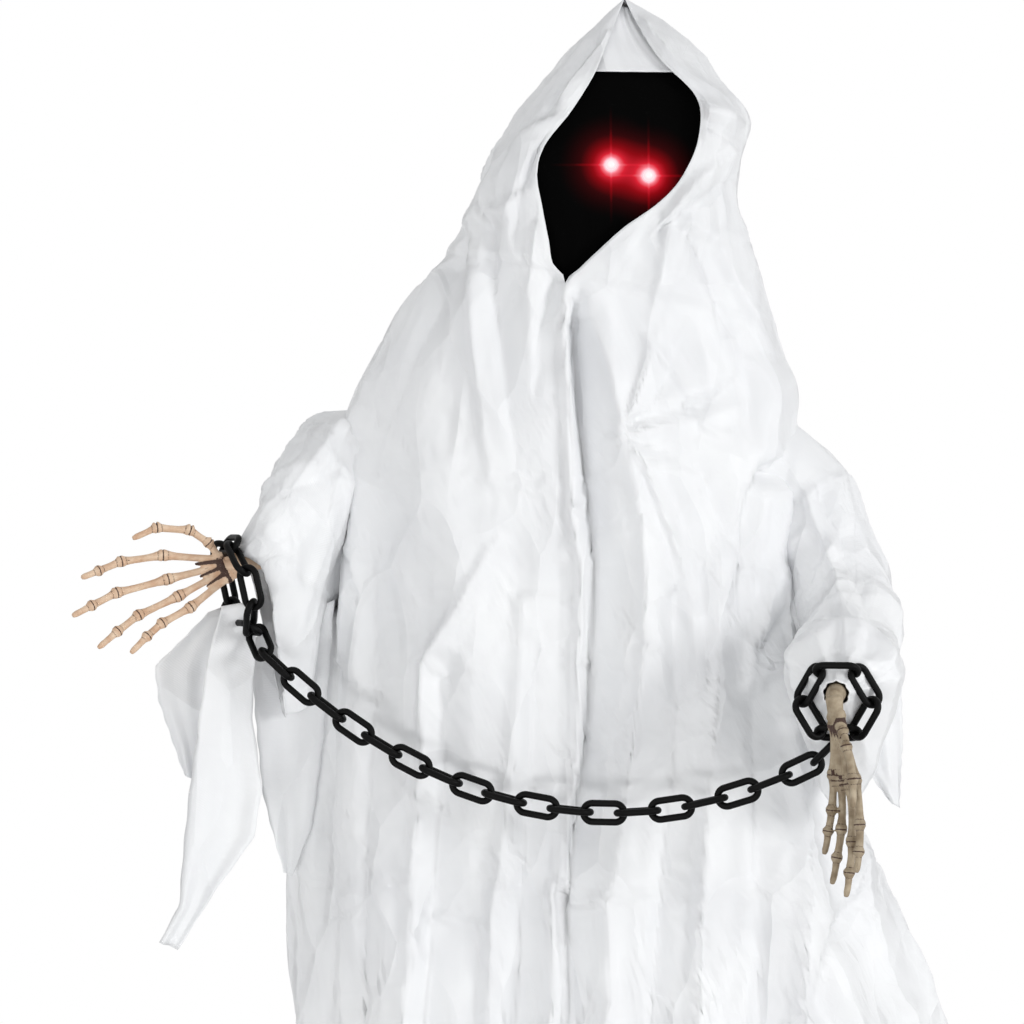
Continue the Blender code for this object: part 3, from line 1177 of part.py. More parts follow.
def loop_links(axis, count):
    """Links of a closed loop round the origin, with the loop's axis given; the first is the lowest."""
    along = Vector(axis).normalized()
    up = (Vector((0, 0, 1)) - along * along.z).normalized()
    side = up.cross(along)
    turn = math.tau / count
    directions = [side * math.cos(turn * index) + up * math.sin(turn * index) for index in range(count)]
    normals = []
    for index, direction in enumerate(directions):
        outward = along.cross(direction)
        twist = WRAP_TWIST if index % 2 else -WRAP_TWIST
        normals.append(outward * math.cos(twist) + along * math.sin(twist))
    middles = [Vector((0, 0, 0))]
    for index in range(1, count):
        middles.append(next_link(middles[-1], directions[index - 1], normals[index - 1], directions[index],
                                 normals[index], WIRE_RADIUS * 2 - WRAP_LAP))
    centre = sum(middles, Vector()) / count
    return [(middle - centre, direction, normal)
            for middle, direction, normal in zip(middles, directions, normals)]


def loop_drop(links):
    """How far a loop hangs under the wrist's axis when its top link rests on the wrist."""
    middle = links[len(links) // 2][0]
    wire = middle.length - PITCH_RADIUS * math.sin(WRAP_TWIST)
    return wire - WIRE_RADIUS - STUB_RADIUS - SEAT_GAP


def hook_point(links):
    """Middle of the lowest link's outer wire, from the loop's centre."""
    middle, along, normal = links[0]
    inward = normal.cross(along)
    if inward.z > 0:
        inward = -inward
    return middle + inward * PITCH_RADIUS


def loop_centre(wrist, axis, links, offset):
    along = Vector(axis).normalized()
    up = (Vector((0, 0, 1)) - along * along.z).normalized()
    return Vector(wrist) - along * offset - up * loop_drop(links)


def left_hook_middle(along):
    """Middle of the link that ties the left loop to the chain."""
    links = loop_links(LEFT_FOREARM, LEFT_WRAP_LINKS)
    wire = loop_centre(LEFT_WRIST, LEFT_FOREARM, links, LEFT_WRAP_OFFSET) + hook_point(links)
    return wire - along * (WIRE_RADIUS * 2 - WRAP_LAP) + along * (PITCH_RADIUS + ARC_OFFSET)


def right_wrist():
    """Place of the right wrist, worked out from where the chain ends."""
    middle, along, _ = chain_places()[-1]
    links = loop_links(RIGHT_FOREARM, RIGHT_WRAP_LINKS)
    wire = middle + along * (PITCH_RADIUS + ARC_OFFSET) - along * (WIRE_RADIUS * 2 - WRAP_LAP)
    centre = wire - hook_point(links)
    forearm = Vector(RIGHT_FOREARM).normalized()
    up = (Vector((0, 0, 1)) - forearm * forearm.z).normalized()
    return centre + forearm * RIGHT_WRAP_OFFSET + up * loop_drop(links)


def build_chain():
    """Loose links between two loops, each loop and its tie moulded as one piece."""
    places = chain_places()
    for index in range(1, len(places) - 1):
        name = "chain_link_{:02d}".format(index)
        part(name, link_mesh(name), CHAIN, CHAIN.matrix_world.inverted() @ link_matrix(*places[index]),
             CHAIN_PLASTIC)
    for name, axis, wrist, hook, count, offset in (
            ("left", LEFT_FOREARM, LEFT_WRIST, places[0], LEFT_WRAP_LINKS, LEFT_WRAP_OFFSET),
            ("right", RIGHT_FOREARM, right_wrist(), places[-1], RIGHT_WRAP_LINKS, RIGHT_WRAP_OFFSET)):
        links = loop_links(axis, count)
        centre = loop_centre(wrist, axis, links, offset)
        wrap = part("wrist_wrap_" + name, link_mesh("wrist_wrap_" + name), TORSO, link_matrix(*hook),
                    CHAIN_PLASTIC)
        for index, (middle, along, normal) in enumerate(links):
            joined = cutter("wrap_{}_{}".format(name, index), link_mesh("wrap_link"), TORSO,
                            link_matrix(centre + middle, along, normal))
            join(wrap, joined)


# Arms and hands

def build_arm(name, side, start, shares, wrist, forearm):
    """Bent rod from the shoulder bar, along the top of the sleeve, into the wrist."""
    frames = sleeve_frames(start, shares)
    along = Vector(forearm).normalized()
    bar = Vector((0, SHOULDER_BAR_SETBACK, SHOULDER_BAR_HEIGHT))
    outward = Vector((side, 0, 0))
    points = [bar + outward * (SHOULDER_BAR_HALF_LENGTH - ARM_PLUG),
              bar + outward * (SHOULDER_BAR_HALF_LENGTH + ARM_RADIUS)]
    for (centre, _, up, _, reach_up, _, _), lower in zip(frames[1:3], (0.0, ARM_RADIUS)):
        points.append(centre + up * (reach_up - CLOTH - SEAT_GAP * 2 - ARM_RADIUS - lower))
    points.append(Vector(wrist) - along * (STUB_LENGTH + STRAIGHT_ARM))
    points.append(Vector(wrist) - along * (STUB_LENGTH - STUB_SOCKET + SEAT_GAP))
    part(name, tube_mesh(name, points, [ARM_RADIUS] * len(points), sides=8), TORSO, Matrix(), STEEL)


def finger_tube(name, shares, spread, curl):
    """One ray of the hand, thick at its joints and thin between them, along +Z."""
    joints = [Vector((across * spread, -depth * curl, along)) * HAND_LENGTH
              for along, across, depth in shares]
    points = []
    radii = []
    shaft = KNUCKLE_RADIUS * SHAFT_RADIUS_SHARE
    for index, (start, end) in enumerate(zip(joints, joints[1:])):
        points += [start, *(start.lerp(end, share) for share in SHAFT_LENGTH_SHARES)]
        radii += [KNUCKLE_RADIUS if index else shaft, shaft, shaft]
    points.append(joints[-1])
    radii.append(KNUCKLE_RADIUS * TIP_RADIUS_SHARE)
    return tube_mesh(name, points, radii, sides=6)


def build_hand(name, wrist, direction, palm, thumb_side, spread, curl, forearm):
    """Skeleton hand moulded in one piece, with a socket for its arm."""
    frame = axes(wrist, direction, -Vector(palm))
    flip = Matrix.Scale(-thumb_side, 4, (1, 0, 0))

    def palm_build(form):
        bmesh.ops.create_uvsphere(form, u_segments=10, v_segments=6, radius=0.5)
        bmesh.ops.scale(form, vec=(PALM_WIDTH, PALM_THICKNESS, PALM_LENGTH), verts=form.verts)
        bmesh.ops.translate(form, vec=(0, 0, PALM_START + PALM_LENGTH / 2), verts=form.verts)
    hand = part(name, mesh_from(name, palm_build), TORSO, frame, BONE)
    for finger, shares in FINGER_SHARES.items():
        mesh = finger_tube(finger, shares, spread, curl)
        mesh.transform(flip)
        if flip.determinant() < 0:
            mesh.flip_normals()
        join(hand, cutter(name + "_" + finger, mesh, TORSO, frame))
    arm = axes(wrist, forearm, (0, 0, 1))
    stub = cylinder_mesh(name + "_stub", STUB_RADIUS, -STUB_LENGTH, PALM_START + PALM_LENGTH / 4)
    join(hand, cutter(name + "_stub", stub, TORSO, arm))
    socket = cylinder_mesh(name + "_socket", ARM_RADIUS + SEAT_GAP, -STUB_LENGTH - CUT_OVERRUN,
                           -STUB_LENGTH + STUB_SOCKET, 12)
    cut(hand, cutter(name + "_socket", socket, TORSO, arm))


def chain_axis():
    """Line that the chain swings about, through the wires of both ties."""
    places = chain_places()
    first, along, _ = places[0]
    last, back, _ = places[-1]
    reach = ARC_OFFSET + PITCH_RADIUS
    return first + along * reach, last - back * reach


STAND = pivot("stand_frame", Matrix())
TORSO = pivot("torso_pivot", Matrix())
HEAD = pivot("head_pivot", shift(NECK_OFFSET, 0, NECK_HEIGHT) @ Matrix.Rotation(HEAD_LEAN, 4, "Y"), TORSO)
CHAIN_ENDS = chain_axis()
CHAIN = pivot("chain_pivot", axes(CHAIN_ENDS[0], CHAIN_ENDS[1] - CHAIN_ENDS[0], (0, 0, 1)), TORSO)
bpy.context.view_layer.update()

build_stand()
build_pole()
build_waist_drive()
build_case()
build_neck()
build_head()
build_hood()
build_robe()
build_veil()
build_sleeve("sleeve_left", LEFT_SLEEVE_START, LEFT_SLEEVE_SHARES, LEFT_TATTER_SHARES, LEFT_TATTER_DIRECTION)
build_sleeve("sleeve_right", RIGHT_SLEEVE_START, RIGHT_SLEEVE_SHARES, RIGHT_TATTER_SHARES,
             RIGHT_TATTER_DIRECTION)
build_chain()
build_arm("arm_left", -1, LEFT_SLEEVE_START, LEFT_SLEEVE_SHARES, LEFT_WRIST, LEFT_FOREARM)
build_arm("arm_right", 1, RIGHT_SLEEVE_START, RIGHT_SLEEVE_SHARES, right_wrist(), RIGHT_FOREARM)
build_hand("hand_left", LEFT_WRIST, LEFT_HAND_DIRECTION, LEFT_PALM_NORMAL, LEFT_THUMB_SIDE,
           LEFT_SPREAD_SHARE, LEFT_CURL_SHARE, LEFT_FOREARM)
build_hand("hand_right", right_wrist(), RIGHT_HAND_DIRECTION, RIGHT_PALM_NORMAL, RIGHT_THUMB_SIDE,
           RIGHT_SPREAD_SHARE, RIGHT_CURL_SHARE, RIGHT_FOREARM)
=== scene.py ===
"""Free-standing hooded ghost: satin robe, skeleton hands, wrist chain and lit eyes over the solid parts."""

import json
import math

import bmesh
import bpy
import numpy as np
from mathutils import Matrix, Vector, noise


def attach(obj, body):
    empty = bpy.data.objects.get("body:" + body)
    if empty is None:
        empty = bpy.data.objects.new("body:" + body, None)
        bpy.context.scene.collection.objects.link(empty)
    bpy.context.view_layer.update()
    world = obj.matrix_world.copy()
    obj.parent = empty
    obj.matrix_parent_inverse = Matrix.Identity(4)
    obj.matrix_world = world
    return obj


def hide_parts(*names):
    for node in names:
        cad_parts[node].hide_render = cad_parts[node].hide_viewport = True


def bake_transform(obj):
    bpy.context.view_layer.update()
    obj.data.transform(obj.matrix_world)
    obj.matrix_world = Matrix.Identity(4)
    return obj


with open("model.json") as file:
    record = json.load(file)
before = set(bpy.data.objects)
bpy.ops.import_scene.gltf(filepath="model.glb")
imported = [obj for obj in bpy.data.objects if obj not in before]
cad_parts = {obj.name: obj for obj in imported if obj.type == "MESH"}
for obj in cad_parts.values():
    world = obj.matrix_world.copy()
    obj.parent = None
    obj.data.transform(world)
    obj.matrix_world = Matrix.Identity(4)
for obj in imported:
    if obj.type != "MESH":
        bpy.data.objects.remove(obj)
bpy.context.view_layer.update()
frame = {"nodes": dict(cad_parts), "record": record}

# Places that the solid parts set
NECK = Vector((-0.010, 0.0, 1.266))
HEAD_LEAN = math.radians(12)
HEAD = Matrix.Translation(NECK) @ Matrix.Rotation(HEAD_LEAN, 4, "Y")

# The view that the folds of the front are drawn in: 1024 steps across and down
EYE_POINT = Vector((-0.0624, -3.6, 1.0706))
VIEW_STEP = 0.00104  # metres to a step, in the plane of the pole
VIEW_MIDDLE = 512
VIEW_STEPS = 1024  # across and down
HEM_DOWN = 1540  # where the hem lies in the view's steps, below its foot
LENS_MM = 121.7
SENSOR_MM = 36.0

# Robe and hood: the same rows as the solid ones
HOOD_HEIGHT = 0.337
HOOD_HALF_WIDTH = 0.150
HOOD_HALF_DEPTH = 0.130
ROBE_DROP = 1.200
ROBE_HALF_WIDTH = 0.300
ROBE_HALF_DEPTH = 0.150
SEAM_ACROSS = -0.006
FULLNESS = 0.85
SKIRT_FOLD = 0.020
FRONT_VALLEY = 0.022
VALLEY_WIDTH_SHARE = 0.035
SKIRT_FOLDS = 9
SECOND_FOLDS = 5
HEM_TATTER = 0.050
HEM_ROWS = 6  # rows of the mesh down the torn points
HEM_REACH = 0.5  # their middle length, and how often a longer one comes round the hem
HEM_WAVES = ((np.cos, 18, 0.28), (np.sin, 31, 0.14), (np.cos, 57, 0.08))

# height, left, right, left rim, right rim, front, widest, back, as shares of the hood's sizes
HOOD_ROW_SHARES = (
    (0.150, -0.88, 1.42, -0.150, 0.030, -1.02, 0.05, 1.00),
    (0.215, -0.83, 1.34, -0.210, 0.130, -1.02, 0.05, 0.98),
    (0.300, -0.79, 1.24, -0.290, 0.270, -1.00, 0.05, 0.96),
    (0.400, -0.74, 1.10, -0.375, 0.470, -0.97, 0.05, 0.93),
    (0.490, -0.69, 1.00, -0.367, 0.580, -0.94, 0.05, 0.88),
    (0.610, -0.61, 0.97, -0.240, 0.630, -0.89, 0.03, 0.80),
    (0.730, -0.47, 0.95, -0.145, 0.560, -0.82, 0.00, 0.65),
    (0.830, -0.35, 0.72, -0.105, 0.260, -0.70, -0.05, 0.42),
    (0.930, -0.17, 0.45, -0.072, 0.060, -0.55, -0.15, 0.10),
)
APEX_SHARES = (1.0, -0.047, -0.40)  # height, across, forward

# drop, tilt, left, right, front, widest, back, fold, as shares of the robe's sizes
ROBE_ROW_SHARES = (
    (-0.028, 1.00, -0.457, 0.740, -0.867, 0.05, 0.867, 0.00),
    (0.010, 0.80, -0.567, 0.800, -0.880, 0.05, 0.880, 0.05),
    (0.042, 0.50, -0.627, 0.810, -0.890, 0.04, 0.885, 0.10),
    (0.075, 0.25, -0.707, 0.815, -0.900, 0.03, 0.893, 0.14),
    (0.125, 0.00, -0.760, 0.820, -0.920, 0.02, 0.920, 0.20),
    (0.210, 0.00, -0.770, 0.800, -0.945, 0.00, 0.960, 0.30),
    (0.300, 0.00, -0.820, 0.830, -0.980, 0.00, 1.030, 0.42),
    (0.400, 0.00, -0.880, 0.980, -1.030, 0.00, 1.100, 0.56),
    (0.510, 0.00, -0.915, 1.130, -1.090, 0.00, 1.180, 0.70),
    (0.640, 0.00, -0.930, 1.290, -1.180, 0.00, 1.280, 0.84),
    (0.780, 0.00, -0.960, 1.340, -1.300, 0.00, 1.420, 0.94),
    (0.900, 0.00, -1.000, 1.370, -1.420, 0.00, 1.550, 1.00),
    (0.985, 0.00, -1.040, 1.400, -1.530, 0.00, 1.660, 1.00),
)
CLOTH_COLUMNS = 230
FRONT_CROWDING = 0.55  # how much closer the columns stand at the front than on average
CLOTH_ROWS = {"hood": 0.0062, "robe": 0.0068, "skirt": 0.0140}  # between two rows of the mesh
SKIRT_START = 9  # the row of sizes that the plainer skirt starts at
CLOTH_THICKNESS = 0.0006
CLOTH_SETTINGS = {
    "quality": 6, "mass": 0.12, "tension_stiffness": 25, "compression_stiffness": 25, "shear_stiffness": 8,
    "bending_stiffness": 0.35, "tension_damping": 8, "compression_damping": 8, "shear_damping": 8,
    "air_damping": 3, "vertex_group_mass": "hold", "pin_stiffness": 2.2,
}
# Simulation of the robe and of a sleeve: frames, how much too large the cloth is, and the farthest fall
ROBE_FALL = (14, 0.014, 0.005)
SLEEVE_FALL = (12, 0.016, 0.004)
# How firmly each part is held in it
HOLD_ROBE, HOLD_HOOD, HOLD_CHIN, HOLD_EDGE = 0.22, 0.30, 0.35, 0.8
HOLD_SLEEVE, HOLD_CUFF, HOLD_SHOULDER = 0.35, 0.6, 0.9

# Folds of the front, as drawn in the view: half width in steps, height at the start and at the end in mm
# (minus is a valley), and the line
SEAM_FOLD = (13, -23, -12, ((572, 322), (573, 355), (582, 478), (590, 567), (586, 751), (566, 900),
                            (560, 1030)))
FOLDS = (
    (6, 6, 5, ((563, 288), (563, 355), (571, 478), (580, 567), (574, 751), (553, 900), (548, 1030))),
    (11, 5, 8, ((588, 310), (609, 369), (624, 444), (640, 519), (646, 640), (628, 780), (608, 900),
                (606, 1030))),
    (7, 2, 7, ((660, 326), (640, 380), (619, 433))),
    (7, 7, 1, ((619, 433), (655, 424), (690, 416), (742, 404))),
    (7, 7, 2, ((619, 433), (642, 461), (664, 520), (687, 590), (700, 680))),
    (9, -4, -2, ((628, 424), (652, 405), (668, 380), (676, 340))),
    (9, -4, -3, ((634, 440), (668, 452), (704, 470), (730, 540))),
    (6, 5, 1, ((650, 346), (676, 372), (694, 403))),
    (6, -6, -1, ((694, 403), (716, 395), (742, 372))),
    (5, 5, 1, ((694, 403), (702, 424), (724, 436))),
    (9, 3, 8, ((800, 437), (786, 500), (776, 567), (762, 620), (748, 672))),
    (9, -8, -3, ((772, 468), (752, 490), (744, 530), (736, 600))),
    (7, 7, 2, ((748, 672), (790, 655), (826, 640), (850, 610))),
    (9, -6, -3, ((756, 650), (790, 610), (810, 560))),
    (8, 2, 7, ((500, 150), (484, 180), (472, 212))),
    (7, 7, 2, ((472, 212), (470, 290), (475, 355), (489, 478))),
    (9, -7, -2, ((484, 226), (494, 300), (505, 380), (520, 470))),
    (6, 6, 1, ((472, 212), (505, 205), (530, 186))),
    (8, 5, 1, ((472, 212), (432, 280), (398, 344), (352, 404))),
    (9, -5, -1, ((468, 240), (440, 300), (412, 360), (392, 420))),
    (8, 2, 7, ((489, 546), (460, 600), (426, 662))),
    (9, 7, 7, ((426, 662), (424, 744), (412, 860), (400, 1030))),
    (12, -6, -9, ((438, 676), (440, 760), (432, 880), (424, 1030))),
    (12, -4, -8, ((372, 560), (372, 700), (360, 860), (352, 1030))),
    (10, 3, 7, ((520, 600), (512, 760), (494, 900), (486, 1030))),
    (12, -3, -8, ((536, 640), (530, 780), (520, 900), (512, 1030))),
    (13, -4, -9, ((676, 600), (676, 720), (664, 860), (652, 1030))),
    (10, 4, 8, ((716, 560), (714, 700), (704, 860), (694, 1030))),
    (13, -3, -9, ((752, 700), (758, 800), (760, 900), (762, 1030))),
    (9, 5, 8, ((790, 720), (800, 820), (806, 900), (800, 1030))),
    (10, -7, -5, ((851, 901), (832, 944), (810, 1000))),
    (8, 6, 3, ((880, 790), (866, 850), (851, 901))),
    (7, 6, 2, ((670, 212), (700, 176), (750, 140))),
    (7, -6, -2, ((664, 226), (700, 200), (740, 176))),
    (6, 5, 1, ((670, 212), (664, 250), (650, 320))),
    (6, 4, 1, ((670, 212), (700, 232), (740, 240))),
    (7, -5, -2, ((690, 236), (712, 280), (722, 330))),
    (6, 5, 3, ((706, 112), (724, 118), (748, 124))),
    (6, -6, -3, ((708, 128), (724, 136), (744, 146))),
    (7, 4, 2, ((720, 250), (746, 300), (770, 350))),
    (9, -5, -2, ((704, 262), (720, 310), (748, 352))),
    (6, 3, 4, ((608, 34), (584, 62), (562, 96))),
    (6, -4, -3, ((592, 40), (566, 76), (544, 112))),
    (5, 3, 2, ((548, 118), (524, 132), (506, 150))),
    (7, -5, -2, ((536, 150), (520, 190), (512, 240))),
    (6, 4, 1, ((536, 228), (528, 290), (530, 360))),
    (7, -5, -1, ((552, 284), (540, 330), (534, 400))),
    (5, 4, 1, ((644, 26), (668, 52), (690, 80))),
    (5, -4, -1, ((636, 40), (652, 60), (672, 74))),
    (8, 4, 4, ((352, 410), (362, 480), (350, 560), (344, 660))),
    (8, 5, 3, ((342, 424), (300, 478), (256, 536))),
    (9, -5, -3, ((346, 440), (318, 500), (268, 560))),
    (7, 4, 2, ((336, 480), (322, 550), (290, 640))),
    (7, -4, -2, ((256, 548), (292, 566), (326, 600))),
    (6, 4, 1, ((252, 556), (272, 600), (286, 650))),
    (8, 5, 4, ((806, 500), (838, 580), (846, 660))),
    (8, -5, -3, ((820, 500), (856, 570), (868, 640))),
)
# Swellings and dents: place, radius in steps, height in mm
SWELLINGS = (
    ((781, 392), 34, 13), ((772, 468), 13, -12), ((694, 404), 12, -6), ((716, 128), 16, 7),
    ((640, 236), 26, 5), ((430, 470), 60, 7), ((660, 560), 30, 5), ((530, 420), 34, 5),
)
FOLD_STRENGTH = 1.85
FOLD_SPREAD = 2.1  # how far a fold runs out, over its half width
FOLD_SHARPNESS = 1.5
FACING_START = 0.05  # a normal's part towards the view at which folds start
FACING_SPAN = 0.35  # and how much more gives them in full
STEEP_SHARE = 0.60  # of a fold's width, on its left
SEAM_STEEP_SHARE = 0.22  # the same for the seam's fold
LONG_SHARE = 1.45  # of a fold's width, on its right
BACK_FOLDS = 15
BACK_FOLD = 0.016  # how far they stand out at the hem
BACK_FOLD_TOP = 1.25  # the level that they start at
BACK_SWAY = (0.22, 1.4, 9)  # their sway in folds, its turns to a metre and its turn round the back
BACK_SHARPNESS = 1.5
CRUMPLE = 0.0014  # small wrinkles over the whole cloth
CRUMPLE_SIZE = 0.085
WRINKLE_FALL = 0.30  # their width over their length
WRINKLE_BEND = 1.6
WIDE_RIDGE, FINE_RIDGE, FINE_SCALE, FINE_SHARE = 2.6, 2.4, 2.1, 0.3
WRINKLE_LEVEL = 0.8
CREASE = 0.0210  # creases between flat facets, where the cloth is crushed
CREASE_SIZE = 0.055
CREASE_BEND = 0.9
CREASE_FALL = 0.6  # their width over their length
CREASE_LEAST_SHARE = 0.20  # of them all over
# Where the cloth is crushed: place and radius in steps
CRUSHED = (((690, 392), 95), ((716, 128), 50), ((640, 236), 60), ((800, 560), 90), ((500, 170), 45),
           ((290, 500), 70), ((860, 600), 70))


# Helpers

def colour(code):
    """sRGB hex to linear."""
    channels = []
    for place in (1, 3, 5):
        value = int(code[place:place + 2], 16) / 255
        channels.append(value / 12.92 if value <= 0.04045 else ((value + 0.055) / 1.055) ** 2.4)
    return (*channels, 1.0)


def eased(share):
    return share * share * (3 - 2 * share)


def new_object(name, data):
    """A new object in the scene."""
    thing = bpy.data.objects.new(name, data)
    bpy.context.scene.collection.objects.link(thing)
    return thing


def axes_of(direction):
    """A direction and the axes above and beside it, all of length one."""
    along = Vector(direction).normalized()
    up = (Vector((0, 0, 1)) - along * along.z).normalized()
    return along, up, up.cross(along)


def lengths_along(line):
    """How far along a line each of its points lies."""
    return np.concatenate([[0], np.cumsum(np.linalg.norm(np.diff(line, axis=0), axis=1))])


def feed(tree, made, **links):
    """Sets a node's inputs, each by its name or its number, to a value or another node's output."""
    for name, value in links.items():
        wanted = name.replace("_", " ").strip()
        socket = made.inputs[int(wanted)] if wanted.isdigit() else made.inputs[wanted]
        if isinstance(value, bpy.types.NodeSocket):
            tree.links.new(value, socket)
        else:
            socket.default_value = value
    return made


def node(tree, kind, settings=None, **links):
    """A new node with its settings, fed with values and other nodes' outputs."""
    made = tree.nodes.new(kind)
    for name, value in (settings or {}).items():
        setattr(made, name, value)
    return feed(tree, made, **links)


def maths(tree, operation, *values, **settings):
    """Output of a node that works on numbers."""
    given = {"_{}".format(index): value for index, value in enumerate(values)}
    return node(tree, "ShaderNodeMath", {"operation": operation, **settings}, **given).outputs[0]


def vector_maths(tree, operation, *values):
    """Output of a node that works on vectors; a length is a number."""
    given = {"_{}".format(index): value for index, value in enumerate(values)}
    made = node(tree, "ShaderNodeVectorMath", {"operation": operation}, **given)
    return made.outputs["Value" if operation == "LENGTH" else "Vector"]


def smooth_range(tree, value, start, end, low=0.0, high=1.0, kind="SMOOTHSTEP"):
    """Low up to the value start, high from the value end, and eased between them."""
    return node(tree, "ShaderNodeMapRange", {"interpolation_type": kind}, Value=value, From_Min=start,
                From_Max=end, To_Min=low, To_Max=high).outputs["Result"]


def noise_from(tree, place, scale, detail, output="Fac"):
    return node(tree, "ShaderNodeTexNoise", Vector=place, Scale=scale, Detail=detail).outputs[output]


def from_lens(tree, place, centre):
    """Way and distance from a lens's centre, as seen from the front."""
    away = vector_maths(tree, "SUBTRACT", place, tuple(centre))
    flat = vector_maths(tree, "MULTIPLY", away, (1.0, 0.0, 1.0))
    return flat, vector_maths(tree, "LENGTH", flat)


def finish_of(name):
    """A new material with its tree, its shader and its coordinates."""
    material = bpy.data.materials.new(name)
    material.use_nodes = True
    tree = material.node_tree
    return material, tree, tree.nodes["Principled BSDF"], node(tree, "ShaderNodeTexCoord").outputs


def ramp(tree, value, *stops):
    """Colour ramp through (position, hex) stops."""
    made = node(tree, "ShaderNodeValToRGB", Fac=value)
    elements = made.color_ramp.elements
    for stop, (position, code) in zip((elements[0], elements[1]), (stops[0], stops[-1])):
        stop.position = position
        stop.color = colour(code)
    for position, code in stops[1:-1]:
        elements.new(position).color = colour(code)
    return made.outputs["Color"]


def bump(tree, shader, height, depth, strength):
    made = node(tree, "ShaderNodeBump", Height=height, Distance=depth, Strength=strength)
    feed(tree, shader, Normal=made.outputs["Normal"])
    return made


# Finishes

SLUB_SHARE = 0.6
FACET_BEND = (0.09, 0.09, 0.09)
FACETS_PER_METRE = 15.0
FACET_HEIGHT = 0.016
RIDGE_WIDTH_SHARE = 0.15
RIDGE_HEIGHT = 0.0011
# Red glow and rays of a glint, painted as emission on the gauze round each eye: painted light
PAINTED_GLOW_SIZE = 0.0064  # at this distance from its middle an eye's glow is full
PAINTED_GLOW_FALL = 1.35
PAINTED_GLOW_EDGE = (0.006, 0.056)
PAINTED_RAY_WIDTH = 0.0022
PAINTED_RAY_REACH = (0.010, 0.064)
PAINTED_RAY_LIGHT = 0.07
LENS_LIGHT_RADIUS = 0.0062


def satin_cloth():
    """Polyester satin, woven: smooth, off-white, with a soft sheen and thin slubs along the warp."""
    material, tree, shader, where = finish_of("white_polyester_satin")
    weave = node(tree, "ShaderNodeMapping", Vector=where["UV"], Scale=(900, 60, 1))
    slub = noise_from(tree, weave.outputs["Vector"], 1.0, 3.0)
    # threads 0.25 mm apart are drawn 1.2 mm apart, so that they show
    threads = node(tree, "ShaderNodeTexWave", {"wave_type": "BANDS", "bands_direction": "DIAGONAL"},
                   Vector=where["UV"], Scale=260.0, Distortion=0.6, Detail=1.0)
    woven = maths(tree, "MULTIPLY_ADD", slub, SLUB_SHARE, threads.outputs["Fac"])
    tint = ramp(tree, noise_from(tree, where["Object"], 7.0, 4.0), (0.35, "#ECEDEF"), (0.65, "#F4F5F6"))
    feed(tree, shader, Base_Color=tint, Roughness=0.46, Sheen_Weight=0.25, Sheen_Roughness=0.35,
         Specular_IOR_Level=0.35)
    # small creases between flat facets, finer than the mesh can hold
    stretched = node(tree, "ShaderNodeMapping", Vector=where["Object"], Scale=(1, 1, 0.5)).outputs["Vector"]
    bent = noise_from(tree, stretched, 9.0, 1.0, "Color")
    moved = vector_maths(tree, "MULTIPLY_ADD", bent, FACET_BEND, stretched)
    facets = node(tree, "ShaderNodeTexVoronoi", Vector=moved, Scale=FACETS_PER_METRE)
    borders = node(tree, "ShaderNodeTexVoronoi", {"feature": "DISTANCE_TO_EDGE"}, Vector=moved,
                   Scale=FACETS_PER_METRE)
    line = smooth_range(tree, borders.outputs["Distance"], 0.0, RIDGE_WIDTH_SHARE, 1.0, 0.0)
    patchy = smooth_range(tree, noise_from(tree, where["Object"], 6.0, 2.0), 0.46, 0.66, 0.0, RIDGE_HEIGHT)
    ridges = maths(tree, "MULTIPLY", line, patchy)
    raised = maths(tree, "MULTIPLY_ADD", facets.outputs["Distance"], FACET_HEIGHT, ridges)
    crease = node(tree, "ShaderNodeBump", Height=raised, Distance=1.0, Strength=1.0)
    feed(tree, bump(tree, shader, woven, 0.00012, 0.5), Normal=crease.outputs["Normal"])
    return material


def gauze(centres):
    """Black gauze: matt, with a red glow painted on it as emission round each lens, painted light from the
    lamps behind.
    """
    material, tree, shader, where = finish_of("black_gauze_with_painted_glow")
    painted_glow_sum = None
    for centre in centres:
        flat, length = from_lens(tree, where["Object"], centre)
        fall = maths(tree, "POWER", maths(tree, "DIVIDE", PAINTED_GLOW_SIZE, length), PAINTED_GLOW_FALL)
        glow = maths(tree, "MULTIPLY", fall, smooth_range(tree, length, *PAINTED_GLOW_EDGE, 1.0, 0.0))
        # faint painted rays of light, a glint, along and across each lens
        parts = node(tree, "ShaderNodeSeparateXYZ", Vector=flat).outputs
        least = maths(tree, "MINIMUM", *[maths(tree, "ABSOLUTE", parts[axis]) for axis in ("X", "Z")])
        thin = smooth_range(tree, least, 0.0, PAINTED_RAY_WIDTH, 1.0, 0.0, "SMOOTHERSTEP")
        tail = smooth_range(tree, length, *PAINTED_RAY_REACH, PAINTED_RAY_LIGHT, 0.0)
        each = maths(tree, "MULTIPLY_ADD", thin, tail, glow)
        painted_glow_sum = each if painted_glow_sum is None else maths(tree, "ADD", painted_glow_sum, each)
    # painted glow colour: dark red at its edge, near white by each lens
    painted_glow_colour = ramp(tree, painted_glow_sum, (0.0, "#000000"), (0.06, "#300204"), (0.20, "#8E0510"), (0.42, "#DC2234"),
               (0.72, "#FF8492"), (1.0, "#FFD3DC"))
    feed(tree, shader, Base_Color=colour("#030303"), Roughness=1.0, Specular_IOR_Level=0.05,
         Emission_Color=painted_glow_colour, Emission_Strength=1.0)
    return material


def lit_lens(centre):
    """Clear red acrylic lens with a lamp behind it: near white in the middle and red at the edge."""
    material, tree, shader, where = finish_of("red_acrylic_lens")
    length = from_lens(tree, where["Object"], centre)[1]
    share = maths(tree, "DIVIDE", length, LENS_LIGHT_RADIUS)
    hue = ramp(tree, share, (0.35, "#FFF6F7"), (1.0, "#FFD6DD"))
    feed(tree, shader, Base_Color=colour("#400408"), Roughness=0.30, Emission_Color=hue,
         Emission_Strength=1.0)
    return material


